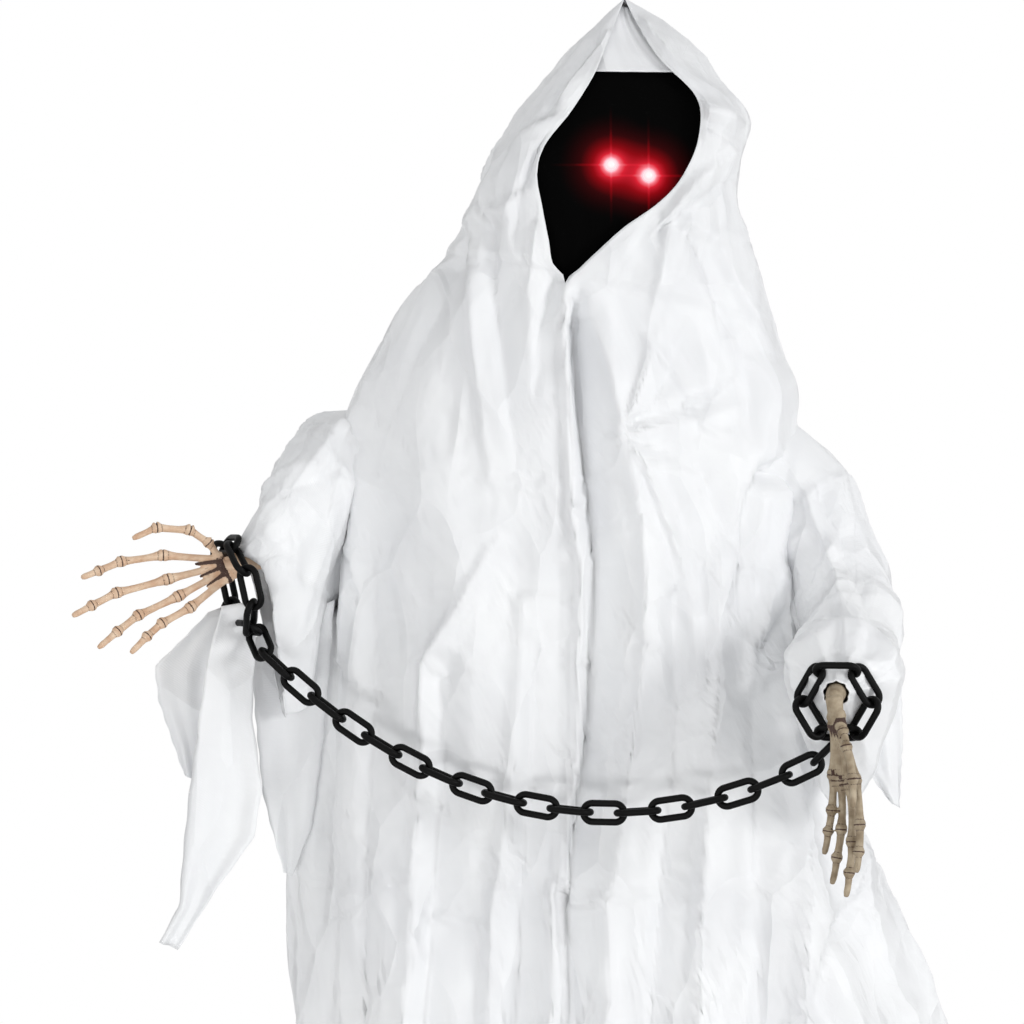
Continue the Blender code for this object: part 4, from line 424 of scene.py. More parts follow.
def bone_plastic(name, pale, deep):
    """PVC moulded as bone: matt, mottled, with brown stain wiped into its grooves."""
    material, tree, shader, where = finish_of(name)
    mottle = ramp(tree, noise_from(tree, where["Object"], 90.0, 5.0), (0.3, deep), (0.7, pale))
    stain = node(tree, "ShaderNodeAttribute", {"attribute_name": "stain"}).outputs["Fac"]
    speck = noise_from(tree, where["Object"], 700.0, 4.0)
    amount = maths(tree, "MULTIPLY_ADD", speck, 0.9, -0.45)
    edge = smooth_range(tree, maths(tree, "ADD", stain, amount, use_clamp=True), 0.35, 0.8)
    mixed = node(tree, "ShaderNodeMix", {"data_type": "RGBA"}, Factor=edge, _6=mottle, _7=colour("#3A2014"))
    feed(tree, shader, Base_Color=mixed.outputs[2], Roughness=0.58)
    # fine pits and scratches of the mould, 0.7 mm and less
    bump(tree, shader, speck, 0.0004, 0.5)
    return material


def chain_plastic():
    """Polypropylene, injection moulded: black, half gloss, a little uneven."""
    material, tree, shader, where = finish_of("black_moulded_polypropylene")
    tint = ramp(tree, noise_from(tree, where["Object"], 60.0, 3.0), (0.3, "#010101"), (0.75, "#040404"))
    feed(tree, shader, Base_Color=tint, Roughness=0.50, Specular_IOR_Level=0.12)
    bump(tree, shader, noise_from(tree, where["Object"], 420.0, 3.0), 0.0003, 0.45)
    return material


def grained(name, pale, deep, roughness, grain_mm, depth, metallic=0.0):
    """A hard finish whose grain of that size is moulded, sprayed or drawn into its face."""
    material, tree, shader, where = finish_of(name)
    grain = noise_from(tree, where["Object"], 1000 / grain_mm, 3.0)
    tint = ramp(tree, grain, (0.3, deep), (0.7, pale))
    feed(tree, shader, Base_Color=tint, Roughness=roughness, Metallic=metallic)
    bump(tree, shader, grain, depth, 0.4)
    return material


FINISHES = {
    "black_moulded_plastic": grained("black_moulded_abs", "#1B1B1C", "#101011", 0.52, 0.9, 0.0002),
    "painted_steel_tube": grained("black_powder_coat", "#1E1E1F", "#131314", 0.40, 1.4, 0.0002),
    "black_rubber": grained("black_moulded_rubber", "#161616", "#0C0C0C", 0.85, 1.1, 0.0003),
    "white_nylon": grained("natural_nylon", "#E4E1D6", "#D6D2C4", 0.48, 2.0, 0.0001),
    "motor_steel": grained("zinc_plated_steel", "#C4C6C9", "#A9ACB0", 0.34, 0.8, 0.0001, 1.0),
    "white_satin_cloth": satin_cloth(),
    "black_chain_plastic": chain_plastic(),
    "bone_plastic": bone_plastic("bone_coloured_pvc", "#D8B899", "#B58C6B"),
}
for entry in frame["record"]["subparts"]:
    solid = frame["nodes"][entry["node"]]
    if entry["material_slot"] in FINISHES:
        solid.data.materials.clear()
        solid.data.materials.append(FINISHES[entry["material_slot"]])


# Meshes

def mesh_object(name, points, faces, finish):
    mesh = bpy.data.meshes.new(name)
    mesh.from_pydata([tuple(point) for point in points], [], faces)
    mesh.validate()
    mesh.shade_smooth()
    mesh.materials.append(finish)
    return new_object(name, mesh)


def plain_mesh(thing):
    """Gives a thing the mesh that its modifiers make, and takes them off it."""
    bpy.context.view_layer.update()
    graph = bpy.context.evaluated_depsgraph_get()
    mesh = bpy.data.meshes.new_from_object(thing.evaluated_get(graph))
    thing.modifiers.clear()
    old = thing.data
    thing.data = mesh
    bpy.data.meshes.remove(old)
    return thing


def unit(vectors):
    return vectors / np.maximum(np.linalg.norm(vectors, axis=-1, keepdims=True), 1e-9)


def grid_normals(points, wrapped):
    """Outward normals of a grid of rows that go up and columns that go clockwise from above."""
    across = np.gradient(points, axis=1)
    if wrapped:
        across[:, 0] = across[:, -1] = points[:, 1] - points[:, -2]
    up = np.gradient(points, axis=0)
    return unit(np.cross(up, across))


def grid_mesh(name, points, closed_rows, finish, tip=False):
    """Sheet through a grid; the first closed_rows rows meet at their ends, and tip joins the last row."""
    rows, columns = points.shape[:2]
    number = np.arange(rows * columns).reshape(rows, columns)
    number[:closed_rows, -1] = number[:closed_rows, 0]
    if tip:
        number[-1, :] = number[-1, 0]
    faces = []
    for row in range(rows - 1):
        for column in range(columns - 1):
            corners = [number[row, column], number[row + 1, column], number[row + 1, column + 1],
                       number[row, column + 1]]
            face = [int(corner) for index, corner in enumerate(corners) if corner not in corners[:index]]
            if len(face) > 2:
                faces.append(face)
    flat = points.reshape(-1, 3)
    around, along = lengths_along(points[0]), lengths_along(points[:, 0])
    used = sorted({corner for face in faces for corner in face})
    renumber = {old: new for new, old in enumerate(used)}
    faces = [[renumber[corner] for corner in face] for face in faces]
    thing = mesh_object(name, flat[used], faces, finish)
    layer = thing.data.uv_layers.new(name="weave")
    for loop in thing.data.loops:
        old = used[loop.vertex_index]
        layer.data[loop.index].uv = (around[old % columns], along[old // columns])
    return thing, np.array(used)


def spline(rows, steps):
    """Rows between the given rows, a step apart, on a smooth curve through each column."""
    rows = np.asarray(rows, float)
    if isinstance(steps, float):
        steps = [steps] * len(rows)
    made = []
    for index in range(len(rows) - 1):
        before = rows[max(index - 1, 0)]
        start, end = rows[index], rows[index + 1]
        after = rows[min(index + 2, len(rows) - 1)]
        count = max(1, round(np.median(np.linalg.norm(end - start, axis=1)) / steps[index]))
        for share in np.arange(count) / count:
            square, cube = share ** 2, share ** 3
            made.append(0.5 * (2 * start + (end - before) * share
                               + (2 * before - 5 * start + 4 * end - after) * square
                               + (3 * start - before - 3 * end + after) * cube))
    made.append(rows[-1])
    return np.array(made)


# Robe and hood

def quarter(share):
    angle = share * math.pi / 2
    return math.sin(angle) ** FULLNESS, math.cos(angle) ** FULLNESS


def round_row(left, right, rim_left, rim_right, front, widest, back, t):
    """Point of one row, at t from 0 at the left front edge, by the back, to 1 at the right front edge."""
    span = min(t, 1 - 1e-9) * 4
    side = int(span)
    sine, cosine = quarter(span - side)
    middle = (left + right) / 2
    if side == 0:
        return rim_left + (left - rim_left) * sine, widest + (front - widest) * cosine
    if side == 1:
        return middle + (left - middle) * cosine, widest + (back - widest) * sine
    if side == 2:
        return middle + (right - middle) * sine, widest + (back - widest) * cosine
    return rim_right + (right - rim_right) * cosine, widest + (front - widest) * sine


def column_turn(column, columns):
    """Place of a column round the garment, from 0 to 1; the columns crowd towards the front."""
    share = column / columns
    return share - FRONT_CROWDING * math.sin(math.tau * share) / math.tau


def hood_row(shares):
    height, left, right, rim_left, rim_right, front, widest, back = shares
    across = [share * HOOD_HALF_WIDTH for share in (left, right, rim_left, rim_right)]
    along = [share * HOOD_HALF_DEPTH for share in (front, widest, back)]
    row = []
    for column in range(CLOTH_COLUMNS + 1):
        x, y = round_row(*across, *along, column_turn(column, CLOTH_COLUMNS))
        row.append(HEAD @ Vector((x, y, height * HOOD_HEIGHT)))
    return row


def fold_depth(t, drop, amount):
    waves = math.cos(math.tau * SKIRT_FOLDS * t + drop * 2) * 2 + math.cos(math.tau * SECOND_FOLDS * t - drop)
    seam = min(t, 1 - t) / VALLEY_WIDTH_SHARE
    valley = math.exp(-seam * seam) * math.sqrt(max(amount, 0.0))
    return SKIRT_FOLD * amount * waves / 3 - FRONT_VALLEY * valley * 0.35


def robe_row(shares):
    drop, tilt, left, right, front, widest, back, amount = shares
    lean = tilt * HEAD_LEAN
    up = Vector((math.sin(lean), 0, math.cos(lean)))
    over = Vector((math.cos(lean), 0, -math.sin(lean)))
    origin = NECK - up * drop * ROBE_DROP
    across = [left * ROBE_HALF_WIDTH, right * ROBE_HALF_WIDTH, SEAM_ACROSS, SEAM_ACROSS]
    along = [share * ROBE_HALF_DEPTH for share in (front, widest, back)]
    row = []
    for column in range(CLOTH_COLUMNS + 1):
        t = column_turn(column, CLOTH_COLUMNS)
        x, y = round_row(*across, *along, t)
        outward = Vector((x, y)).normalized() * fold_depth(t, drop * math.tau, amount)
        row.append(origin + over * (x + outward.x) + Vector((0, y + outward.y, 0)))
    return row


def in_view(points):
    """Steps across and down at which the front view sees each point."""
    away = points[..., 1] - EYE_POINT.y
    scale = -EYE_POINT.y / VIEW_STEP / away
    across = VIEW_MIDDLE + (points[..., 0] - EYE_POINT.x) * scale
    down = VIEW_MIDDLE - (points[..., 2] - EYE_POINT.z) * scale
    return np.stack([across, down], axis=-1)


def fold_heights(seen):
    """Height in metres that the drawn folds and swellings give each seen point."""
    ridge = np.zeros(seen.shape[:-1])
    valley = np.zeros(seen.shape[:-1])
    for fold in (SEAM_FOLD, *FOLDS):
        half_width, start_mm, end_mm, line = fold
        steep = SEAM_STEEP_SHARE if fold is SEAM_FOLD else STEEP_SHARE
        line = np.array(line, float)
        lengths = lengths_along(line)
        drawn_length = lengths[-1]
        if line[-1][1] > VIEW_STEPS:
            # a fold that leaves the view at its foot runs on to the hem
            fall = line[-1] - line[-2]
            line = np.vstack([line, line[-1] + fall * (HEM_DOWN - line[-1][1]) / fall[1]])
            lengths = np.append(lengths, lengths[-1] + np.linalg.norm(line[-1] - line[-2]))
        nearest = np.full(seen.shape[:-1], 1e9)
        along = np.zeros(seen.shape[:-1])
        for index in range(len(line) - 1):
            a, b = line[index], line[index + 1]
            span = b - a
            share = np.clip(((seen - a) @ span) / (span @ span), 0, 1)
            away = np.linalg.norm(seen - a - share[..., None] * span, axis=-1)
            # a fold is steep on its left side and runs out slowly on its right
            turned = span[0] * (seen[..., 1] - a[1]) - span[1] * (seen[..., 0] - a[0])
            away = away / np.where((turned > 0) == (span[1] > 0), steep, LONG_SHARE)
            closer = away < nearest
            nearest = np.where(closer, away, nearest)
            length = lengths[index] + share * (lengths[index + 1] - lengths[index])
            along = np.where(closer, length, along)
        share = np.minimum(along / drawn_length, 1)
        size = start_mm + (end_mm - start_mm) * share
        near = np.maximum(0, 1 - nearest / (half_width * FOLD_SPREAD))
        drawn = FOLD_STRENGTH * size / 1000 * near ** FOLD_SHARPNESS
        ridge = np.maximum(ridge, drawn)
        valley = np.minimum(valley, drawn)
    height = ridge + valley
    for (across, down), radius, size in SWELLINGS:
        away = np.hypot(seen[..., 0] - across, seen[..., 1] - down) / radius
        height += size / 1000 * np.exp(-away ** 2)
    return height


def facing_front(normals):
    """1 where the cloth faces the view, down to 0 at its sides."""
    return eased(np.clip((-normals[..., 1] - FACING_START) / FACING_SPAN, 0, 1))


def back_folds(points, normals):
    """Height of the long folds that hang from the shoulders, out of the front view's sight."""
    t = np.arange(points.shape[1]) / (points.shape[1] - 1)
    level = points[..., 2]
    drop = np.clip((BACK_FOLD_TOP - level) / BACK_FOLD_TOP, 0, 1)
    sway, down, around = BACK_SWAY
    turns = BACK_FOLDS * t[None, :] + sway * np.sin(math.tau * down * level + around * t[None, :])
    waves = (0.5 + 0.5 * np.cos(math.tau * turns)) ** BACK_SHARPNESS
    return BACK_FOLD * waves * np.sqrt(drop) * (1 - facing_front(normals))


def crumple(points, size, seed):
    """Small crisp wrinkles: ridged noise, drawn out along the fall of the cloth."""
    made = np.zeros(points.shape[:-1]).ravel()
    for index, point in enumerate(points.reshape(-1, 3)):
        place = Vector((point[0] / size, point[1] / size, point[2] / size * WRINKLE_FALL + seed))
        place.x += noise.noise(place * 0.5) * WRINKLE_BEND
        fine = 1 - abs(noise.noise(place * FINE_SCALE)) * FINE_RIDGE
        made[index] = 1 - abs(noise.noise(place)) * WIDE_RIDGE + FINE_SHARE * fine
    return made.reshape(points.shape[:-1]) - WRINKLE_LEVEL


def creases(points, seen, seed):
    """Creases between flat facets, deep where the cloth is crushed."""
    shape = points.shape[:-1]
    share = np.full(shape, CREASE_LEAST_SHARE)
    for (across, down), radius in CRUSHED:
        away = np.hypot(seen[..., 0] - across, seen[..., 1] - down) / radius
        share = np.maximum(share, np.exp(-away ** 2))
    made = np.zeros(shape).ravel()
    for index, point in enumerate(points.reshape(-1, 3)):
        place = Vector(point) / CREASE_SIZE
        place.x += noise.noise(place * 0.7) * CREASE_BEND
        place.z = place.z * CREASE_FALL + seed
        made[index] = noise.voronoi(place)[0][0]
    return (made.reshape(shape) - 0.5) * share * CREASE


def robe_points():
    """Grid of the whole garment, its rows from the hem up to the hood's point."""
    rows = [robe_row(shares) for shares in ROBE_ROW_SHARES][::-1]
    closed = len(rows)
    rows += [hood_row(shares) for shares in HOOD_ROW_SHARES]
    height, across, forward = APEX_SHARES
    tip = HEAD @ Vector((across * HOOD_HALF_WIDTH, forward * HOOD_HALF_DEPTH, height * HOOD_HEIGHT))
    rows.append([tip] * (CLOTH_COLUMNS + 1))
    skirt = len(ROBE_ROW_SHARES) - SKIRT_START
    steps = [CLOTH_ROWS["skirt"]] * skirt + [CLOTH_ROWS["robe"]] * (closed - skirt) \
        + [CLOTH_ROWS["hood"]] * len(HOOD_ROW_SHARES)
    # rows that lie below the chin meet at the front
    return spline(rows, steps), len(spline(rows[:closed], steps))


def torn_hem(points):
    """The lowest rows drawn down into torn points."""
    columns = points.shape[1]
    t = np.arange(columns) / (columns - 1)
    reach = HEM_REACH
    for wave, count, length in HEM_WAVES:
        reach = reach + length * wave(math.tau * count * t)
    top = points[0]
    rows = []
    for share in np.linspace(1, 0, HEM_ROWS + 1)[:-1]:
        row = top.copy()
        row[:, 2] -= HEM_TATTER * np.clip(reach, 0.05, 1.0) * share
        row[-1] = row[0]
        rows.append(row)
    return np.concatenate([np.array(rows), points])


def simulate(thing, hold, frames, growth, most):
    """Lets cloth that is cut a little larger than its shape fall into wrinkles, at most that far."""
    start = np.array([vertex.co for vertex in thing.data.vertices])
    group = thing.vertex_groups.new(name="hold")
    for index, weight in enumerate(hold):
        group.add([index], float(weight), "REPLACE")
    cloth = thing.modifiers.new("fall", "CLOTH")
    settings = cloth.settings
    for wanted, value in CLOTH_SETTINGS.items():
        setattr(settings, wanted, value)
    settings.shrink_min = -growth
    cloth.collision_settings.use_collision = False
    cloth.collision_settings.use_self_collision = False
    cloth.point_cache.frame_start = 1
    cloth.point_cache.frame_end = frames
    for number in range(1, frames + 1):
        bpy.context.scene.frame_set(number)
    plain_mesh(thing)
    bpy.context.scene.frame_set(1)
    end = np.array([vertex.co for vertex in thing.data.vertices])
    shift = end - start
    far = np.linalg.norm(shift, axis=1, keepdims=True)
    end = start + shift * np.minimum(1, most / np.maximum(far, 1e-9))
    thing.data.vertices.foreach_set("co", end.astype(np.float32).ravel())
    thing.data.update()
    thing.vertex_groups.clear()


def thicken(thing, thickness=CLOTH_THICKNESS):
    wall = thing.modifiers.new("thickness", "SOLIDIFY")
    wall.thickness = thickness
    wall.offset = -1.0
    plain_mesh(thing)
    thing.data.shade_smooth()


def build_robe():
    """Robe and hood, one cloth from the torn hem to the hood's point."""
    points, closed_rows = robe_points()
    points = torn_hem(points)
    closed_rows += HEM_ROWS
    normals = grid_normals(points, False)
    seen = in_view(points)
    height = fold_heights(seen) * facing_front(normals)
    height += crumple(points, CRUMPLE_SIZE, 3.0) * CRUMPLE + creases(points, seen, 7.0) \
        + back_folds(points, normals)
    rows, columns = points.shape[:2]
    rim = np.minimum(np.arange(columns), np.arange(columns)[::-1])
    calm = np.clip(rim / 7, 0.25, 1)[None, :] * np.ones((rows, 1))
    calm[:closed_rows] = 1
    height *= calm
    height[-8:] *= np.linspace(1, 0, 8)[:, None]
    points = points + normals * height[..., None]
    seam = (points[:closed_rows, 0] + points[:closed_rows, -1]) / 2
    points[:closed_rows, 0] = points[:closed_rows, -1] = seam
    robe, used = grid_mesh("robe_and_hood", points, closed_rows, FINISHES["white_satin_cloth"], True)
    hold = np.full((rows, columns), HOLD_ROBE)
    hold[closed_rows:] = HOLD_HOOD
    hold[closed_rows:, :4] = hold[closed_rows:, -4:] = HOLD_EDGE
    hold[:closed_rows][np.arange(closed_rows) > closed_rows - 14] = HOLD_CHIN
    hold[-10:] = HOLD_EDGE
    simulate(robe, hold.reshape(-1)[used], *ROBE_FALL)
    return robe


# Sleeves

SLEEVE_LENGTH = 0.200
SLEEVE_COLUMNS = 150
SLEEVE_ROW = 0.0050  # between two rows of the mesh
SLEEVE_NARROW_SHARE = 0.5
SLEEVE_SWING = 0.032
SLEEVE_LEAST = -0.0005  # the arm is close under the sleeve, so no fold goes further in than this
LEFT_SLEEVE_START = (-0.196, 0.000, 1.120)
RIGHT_SLEEVE_START = (0.196, 0.000, 1.118)
LEFT_SLEEVE_SHARES = (
    ((0.000, 0.000, 0.000), (-1.0, -0.10, -0.25), 0.29, 0.36, 0.34),
    ((-0.210, -0.050, -0.060), (-1.0, -0.35, -0.40), 0.33, 0.43, 0.33),
    ((-0.400, -0.330, -0.250), (-0.9, -0.70, -0.15), 0.34, 0.62, 0.24),
    ((-0.505, -0.540, -0.440), (-0.9, -0.45, -0.22), 0.30, 0.76, 0.18),
    ((-0.602, -0.600, -0.498), (-0.9, -0.33, -0.16), 0.20, 0.78, 0.14),
)
RIGHT_SLEEVE_SHARES = (
    ((0.000, 0.000, 0.000), (0.85, -0.10, -0.45), 0.29, 0.38, 0.34),
    ((0.250, -0.060, -0.240), (0.60, -0.40, -0.70), 0.27, 0.40, 0.28),
    ((0.430, -0.400, -0.780), (0.10, -0.90, -0.45), 0.27, 0.55, 0.24),
    ((0.370, -0.780, -0.960), (-0.20, -1.00, -0.15), 0.23, 0.66, 0.25),
    ((0.320, -1.150, -1.025), (-0.20, -1.00, -0.15), 0.20, 0.68, 0.27),
)
# The cuff: how far up the arm from the wrist it is drawn in, its radius there, and how far down the
# mouth it is drawn in, as a cosine
LEFT_CUFF = (0.010, 0.0185, 0.30)
RIGHT_CUFF = (0.018, 0.0125, 2.00)
CUFF_EASE = 0.9
PLEATS = 9
PLEAT_SHARE = 0.05
MOUTH_DROP = 0.005
STRIP_GRID = (14, 60)  # columns and rows of the mesh
STRIP_FRAY = 0.5  # in steps of the view
STRIP_FULL = 30  # steps of width from which a strip waves in full
STRIP_TURN = 0.012  # how much farther forward its left edge lies than its right one
# Torn strips as seen in the view: how far forward they hang, their left edge and their right edge
LEFT_STRIPS = (
    (-0.080, ((209, 612), (182, 640), (155, 666), (159, 701), (176, 751), (184, 774)),
     ((240, 600), (226, 640), (219, 680), (213, 720), (210, 760), (201, 784))),
    (-0.118, ((222, 606), (208, 660), (200, 714), (190, 790), (184, 850), (180, 905), (160, 942)),
     ((258, 600), (254, 660), (252, 716), (262, 790), (254, 838), (216, 890), (178, 950))),
    (-0.060, ((250, 640), (256, 716), (263, 790), (272, 826), (284, 872)),
     ((334, 600), (328, 680), (323, 740), (312, 826), (292, 876))),
)
RIGHT_STRIPS = (
    (-0.165, ((836, 690), (850, 726), (866, 770), (890, 802)),
     ((902, 680), (904, 740), (902, 780), (900, 808))),
    (-0.052, ((764, 470), (770, 560), (776, 640), (800, 716)),
     ((812, 480), (826, 560), (826, 640), (806, 718))),
)


def sleeve_frame(start, shares):
    place_share, direction, reach_up, reach_down, reach_side = shares
    centre = Vector(start) + Vector(place_share) * SLEEVE_LENGTH
    _, up, side = axes_of(direction)
    return centre, up, side, reach_up * SLEEVE_LENGTH, reach_down * SLEEVE_LENGTH, reach_side * SLEEVE_LENGTH


def sleeve_point(sleeve, turn):
    """Point of a sleeve's ring at a share of a turn from its top."""
    centre, up, side, reach_up, reach_down, reach_side = sleeve
    angle = math.tau * turn
    height = math.cos(angle)
    reach = reach_up if height > 0 else reach_down
    low = max(0.0, -height)
    narrow = 1 - (1 - SLEEVE_NARROW_SHARE) * low
    return centre + up * height * reach + Vector((0, SLEEVE_SWING, 0)) * low \
        + side * math.sin(angle) * reach_side * narrow


def sleeve_rows(start, table, columns, wrist, forearm, cuff):
    """Grid from the cuff and the mouth back to the shoulder, its columns clockwise from the front."""
    turns = [column / columns for column in range(columns + 1)]
    rings = []
    for shares in table[::-1]:
        sleeve = sleeve_frame(start, shares)
        rings.append([sleeve_point(sleeve, turn) for turn in turns])
    back_off, radius, reach = cuff
    along, up, side = axes_of(forearm)
    centre = Vector(wrist) - along * back_off
    drawn = []
    for turn, mouth in zip(turns, rings[0]):
        angle = math.tau * turn
        share = eased(min(1.0, max(0.0, (math.cos(angle) + reach) / CUFF_EASE)))
        pleat = 1 + PLEAT_SHARE * math.cos(angle * PLEATS)
        ring = centre + (up * math.cos(angle) + side * math.sin(angle)) * radius * pleat
        drawn.append(mouth.lerp(ring, share) - Vector((0, 0, MOUTH_DROP)) * (1 - share))
    return spline([drawn, *rings], SLEEVE_ROW)


def build_sleeve(name, start, table, strips, wrist, forearm, cuff, seed):
    """Bell sleeve drawn in at its cuff, and the torn strips that hang from its mouth."""
    columns = SLEEVE_COLUMNS
    points = sleeve_rows(start, table, columns, wrist, forearm, cuff)
    normals = grid_normals(points, True)
    middle = points.mean(axis=1, keepdims=True)
    if ((points - middle) * normals).sum() < 0:
        points = points[:, ::-1]
        normals = grid_normals(points, True)
    rows = points.shape[0]
    down = np.linspace(0, 1, rows)[:, None]
    turns = np.arange(columns + 1)[None, :] / columns
    # gathers that fan out from the cuff
    waves = np.sin(math.tau * (9 * turns + 0.25 * down) + seed) * 0.0016 \
        + np.sin(math.tau * (16 * turns - 0.4 * down) + seed * 2) * 0.0008
    height = 0.0025 + waves * (1 - down) ** 0.7 + crumple(points, 0.06, seed) * 0.0018
    seen = in_view(points)
    height += fold_heights(seen) * facing_front(normals) * 0.8 + creases(points, seen, seed)
    height *= np.clip((1 - down) * 6, 0.2, 1) * np.clip(down * 12, 0.15, 1)
    height = np.maximum(height, SLEEVE_LEAST)
    height[:, -1] = height[:, 0]
    points = points + normals * height[..., None]
    points[:, -1] = points[:, 0]
    sleeve, used = grid_mesh(name, points, rows, FINISHES["white_satin_cloth"])
    hold = np.full((rows, columns + 1), HOLD_SLEEVE)
    hold[-12:] = HOLD_SHOULDER
    hold[:6] = HOLD_CUFF
    simulate(sleeve, hold.reshape(-1)[used], *SLEEVE_FALL)
    thicken(sleeve)
    pieces = [build_strip("{}_strip_{}".format(name, index + 1), *strip, seed + index)
              for index, strip in enumerate(strips)]
    return sleeve, pieces


def out_of_view(step, y):
    """World place of a point of the view at a distance forward."""
    scale = VIEW_STEP * (y - EYE_POINT.y) / -EYE_POINT.y
    return Vector((EYE_POINT.x + (step[0] - VIEW_MIDDLE) * scale, y,
                   EYE_POINT.z - (step[1] - VIEW_MIDDLE) * scale))


def along_line(line, share):
    """Point at a share of a line's length."""
    line = np.array(line, float)
    lengths = lengths_along(line)
    return [np.interp(share * lengths[-1], lengths, line[:, axis]) for axis in (0, 1)]


def build_strip(name, y, left, right, seed):
    """Torn strip of cloth that hangs from the mouth and ends in a ragged point."""
    columns, rows = STRIP_GRID
    grid = np.zeros((rows + 1, columns + 1, 3))
    for row in range(rows + 1):
        share = row / rows
        low, high = along_line(left, share), along_line(right, share)
        for column in range(columns + 1):
            across = column / columns
            step = [low[axis] + (high[axis] - low[axis]) * across for axis in (0, 1)]
            edge = math.sin(row * 0.9 + seed) * STRIP_FRAY if column in (0, columns) else 0.0
            point = out_of_view((step[0] + edge, step[1]), y)
            wave = math.sin(across * 8 + share * 2 + seed * 1.7) * 0.005 * share \
                + math.sin(across * 15 - share * 4 + seed) * 0.002 * share
            width = min(1.0, math.dist(low, high) / STRIP_FULL)
            point.y += (wave + (across - 0.5) * STRIP_TURN) * width
            grid[row, column] = point
    span = np.linalg.norm(grid[:, -1] - grid[:, 0], axis=1)
    grid[..., 1] -= crumple(grid, 0.05, seed) * 0.0012 * np.minimum(1, span / 0.03)[:, None]
    strip, _ = grid_mesh(name, grid[::-1], 0, FINISHES["white_satin_cloth"])
    thicken(strip)
    return strip


# Face

VEIL_STEPS = 60
VEIL_LAP = 0.010
VEIL_SETBACK = 0.014
VEIL_FOOT_SHARE = 0.0475  # how far it runs below the hood's first row, of the hood's height
VEIL_RIPPLE = 0.0006
VEIL_TOP = 1.5168  # the level of its top edge
LINING_TOP_SHARE = 0.975  # of the hood's height
EYE_ACROSS = 0.034
EYE_LEVEL = 0.1595
EYE_SPACING = 0.0395
EYE_TILT = math.radians(4)
EYE_TIP = 0.118
EYE_RADIUS = 0.0055
EYE_LENGTH = 0.034
LENS_SIDES = 32
DOME_STEPS = 8


def eye_place(side):
    across = EYE_ACROSS + side * EYE_SPACING / 2 * math.cos(EYE_TILT)
    height = EYE_LEVEL - side * EYE_SPACING / 2 * math.sin(EYE_TILT)
    return Vector((across, 0, height))


def rim_at(height_share):
    """Left rim, right rim and front of the hood's opening at a height, in the head's frame."""
    table = np.array([(0.1025, -0.040, -0.040, -1.00)]
                     + [(row[0], row[3], row[4], row[5]) for row in HOOD_ROW_SHARES]
                     + [(APEX_SHARES[0], APEX_SHARES[1], APEX_SHARES[1], APEX_SHARES[2])])
    values = [np.interp(height_share, table[:, 0], table[:, column]) for column in (1, 2, 3)]
    return values[0] * HOOD_HALF_WIDTH, values[1] * HOOD_HALF_WIDTH, values[2] * HOOD_HALF_DEPTH


def level_share(x):
    """Share of the hood's height at which the head's leaning frame reaches the veil's level top."""
    return (VEIL_TOP - NECK.z + x * math.sin(HEAD_LEAN)) / math.cos(HEAD_LEAN) / HOOD_HEIGHT


def face_sheet(name, above, lap, setback, rows, finish, bulge):
    """Curved sheet across the hood's opening, above the veil's level top or below it."""
    grid = np.zeros((rows + 1, VEIL_STEPS + 1, 3))
    for row in range(rows + 1):
        for column in range(VEIL_STEPS + 1):
            across = column / VEIL_STEPS
            share = LINING_TOP_SHARE if above else HOOD_ROW_SHARES[0][0] - VEIL_FOOT_SHARE
            x = 0.0
            for _ in range(4):
                low, high = (level_share(x), LINING_TOP_SHARE) if above else (share, level_share(x))
                height = low + (high - low) * row / rows
                left, right, front = rim_at(height)
                x = left - lap + (right - left + lap * 2) * across
            forward = bulge * math.sin(math.pi * across) * math.sin(math.pi * min(1, row / rows * 1.1))
            ripple = VEIL_RIPPLE * math.sin(across * 23 + row * 0.31) * math.sin(math.pi * across)
            grid[row, column] = HEAD @ Vector((x, front + setback - forward + ripple, height * HOOD_HEIGHT))
    sheet, _ = grid_mesh(name, grid[:, ::-1], 0, finish)
    thicken(sheet)
    return sheet


def build_lens(name, side, finish):
    """Domed lens on its collar, turned about the line that it looks along."""
    profile = [(0.0, EYE_TIP)]
    for step in range(1, DOME_STEPS + 1):
        angle = math.pi / 2 * step / DOME_STEPS
        profile.append((EYE_RADIUS * math.sin(angle), EYE_TIP - EYE_RADIUS * (1 - math.cos(angle))))
    profile += [(EYE_RADIUS, EYE_TIP - EYE_LENGTH + 0.001), (EYE_RADIUS - 0.001, EYE_TIP - EYE_LENGTH),
                (0.0, EYE_TIP - EYE_LENGTH)]
    form = bmesh.new()
    sides = LENS_SIDES
    rings = []
    for radius, depth in profile:
        if radius == 0.0:
            rings.append([form.verts.new(HEAD @ (eye_place(side) + Vector((0, -depth, 0))))])
            continue
        rings.append([form.verts.new(HEAD @ (eye_place(side) + Vector((
            radius * math.cos(math.tau * turn / sides), -depth, radius * math.sin(math.tau * turn / sides)))))
            for turn in range(sides)])
    for upper, lower in zip(rings, rings[1:]):
        for turn in range(sides):
            after = (turn + 1) % sides
            face = [upper[turn % len(upper)], lower[turn % len(lower)], lower[after % len(lower)],
                    upper[after % len(upper)]]
            form.faces.new([corner for index, corner in enumerate(face) if corner not in face[:index]])
    bmesh.ops.recalc_face_normals(form, faces=form.faces)
    mesh = bpy.data.meshes.new(name)
    form.to_mesh(mesh)
    form.free()
    mesh.shade_smooth()
    mesh.materials.append(finish)
    return new_object(name, mesh)


# Chain

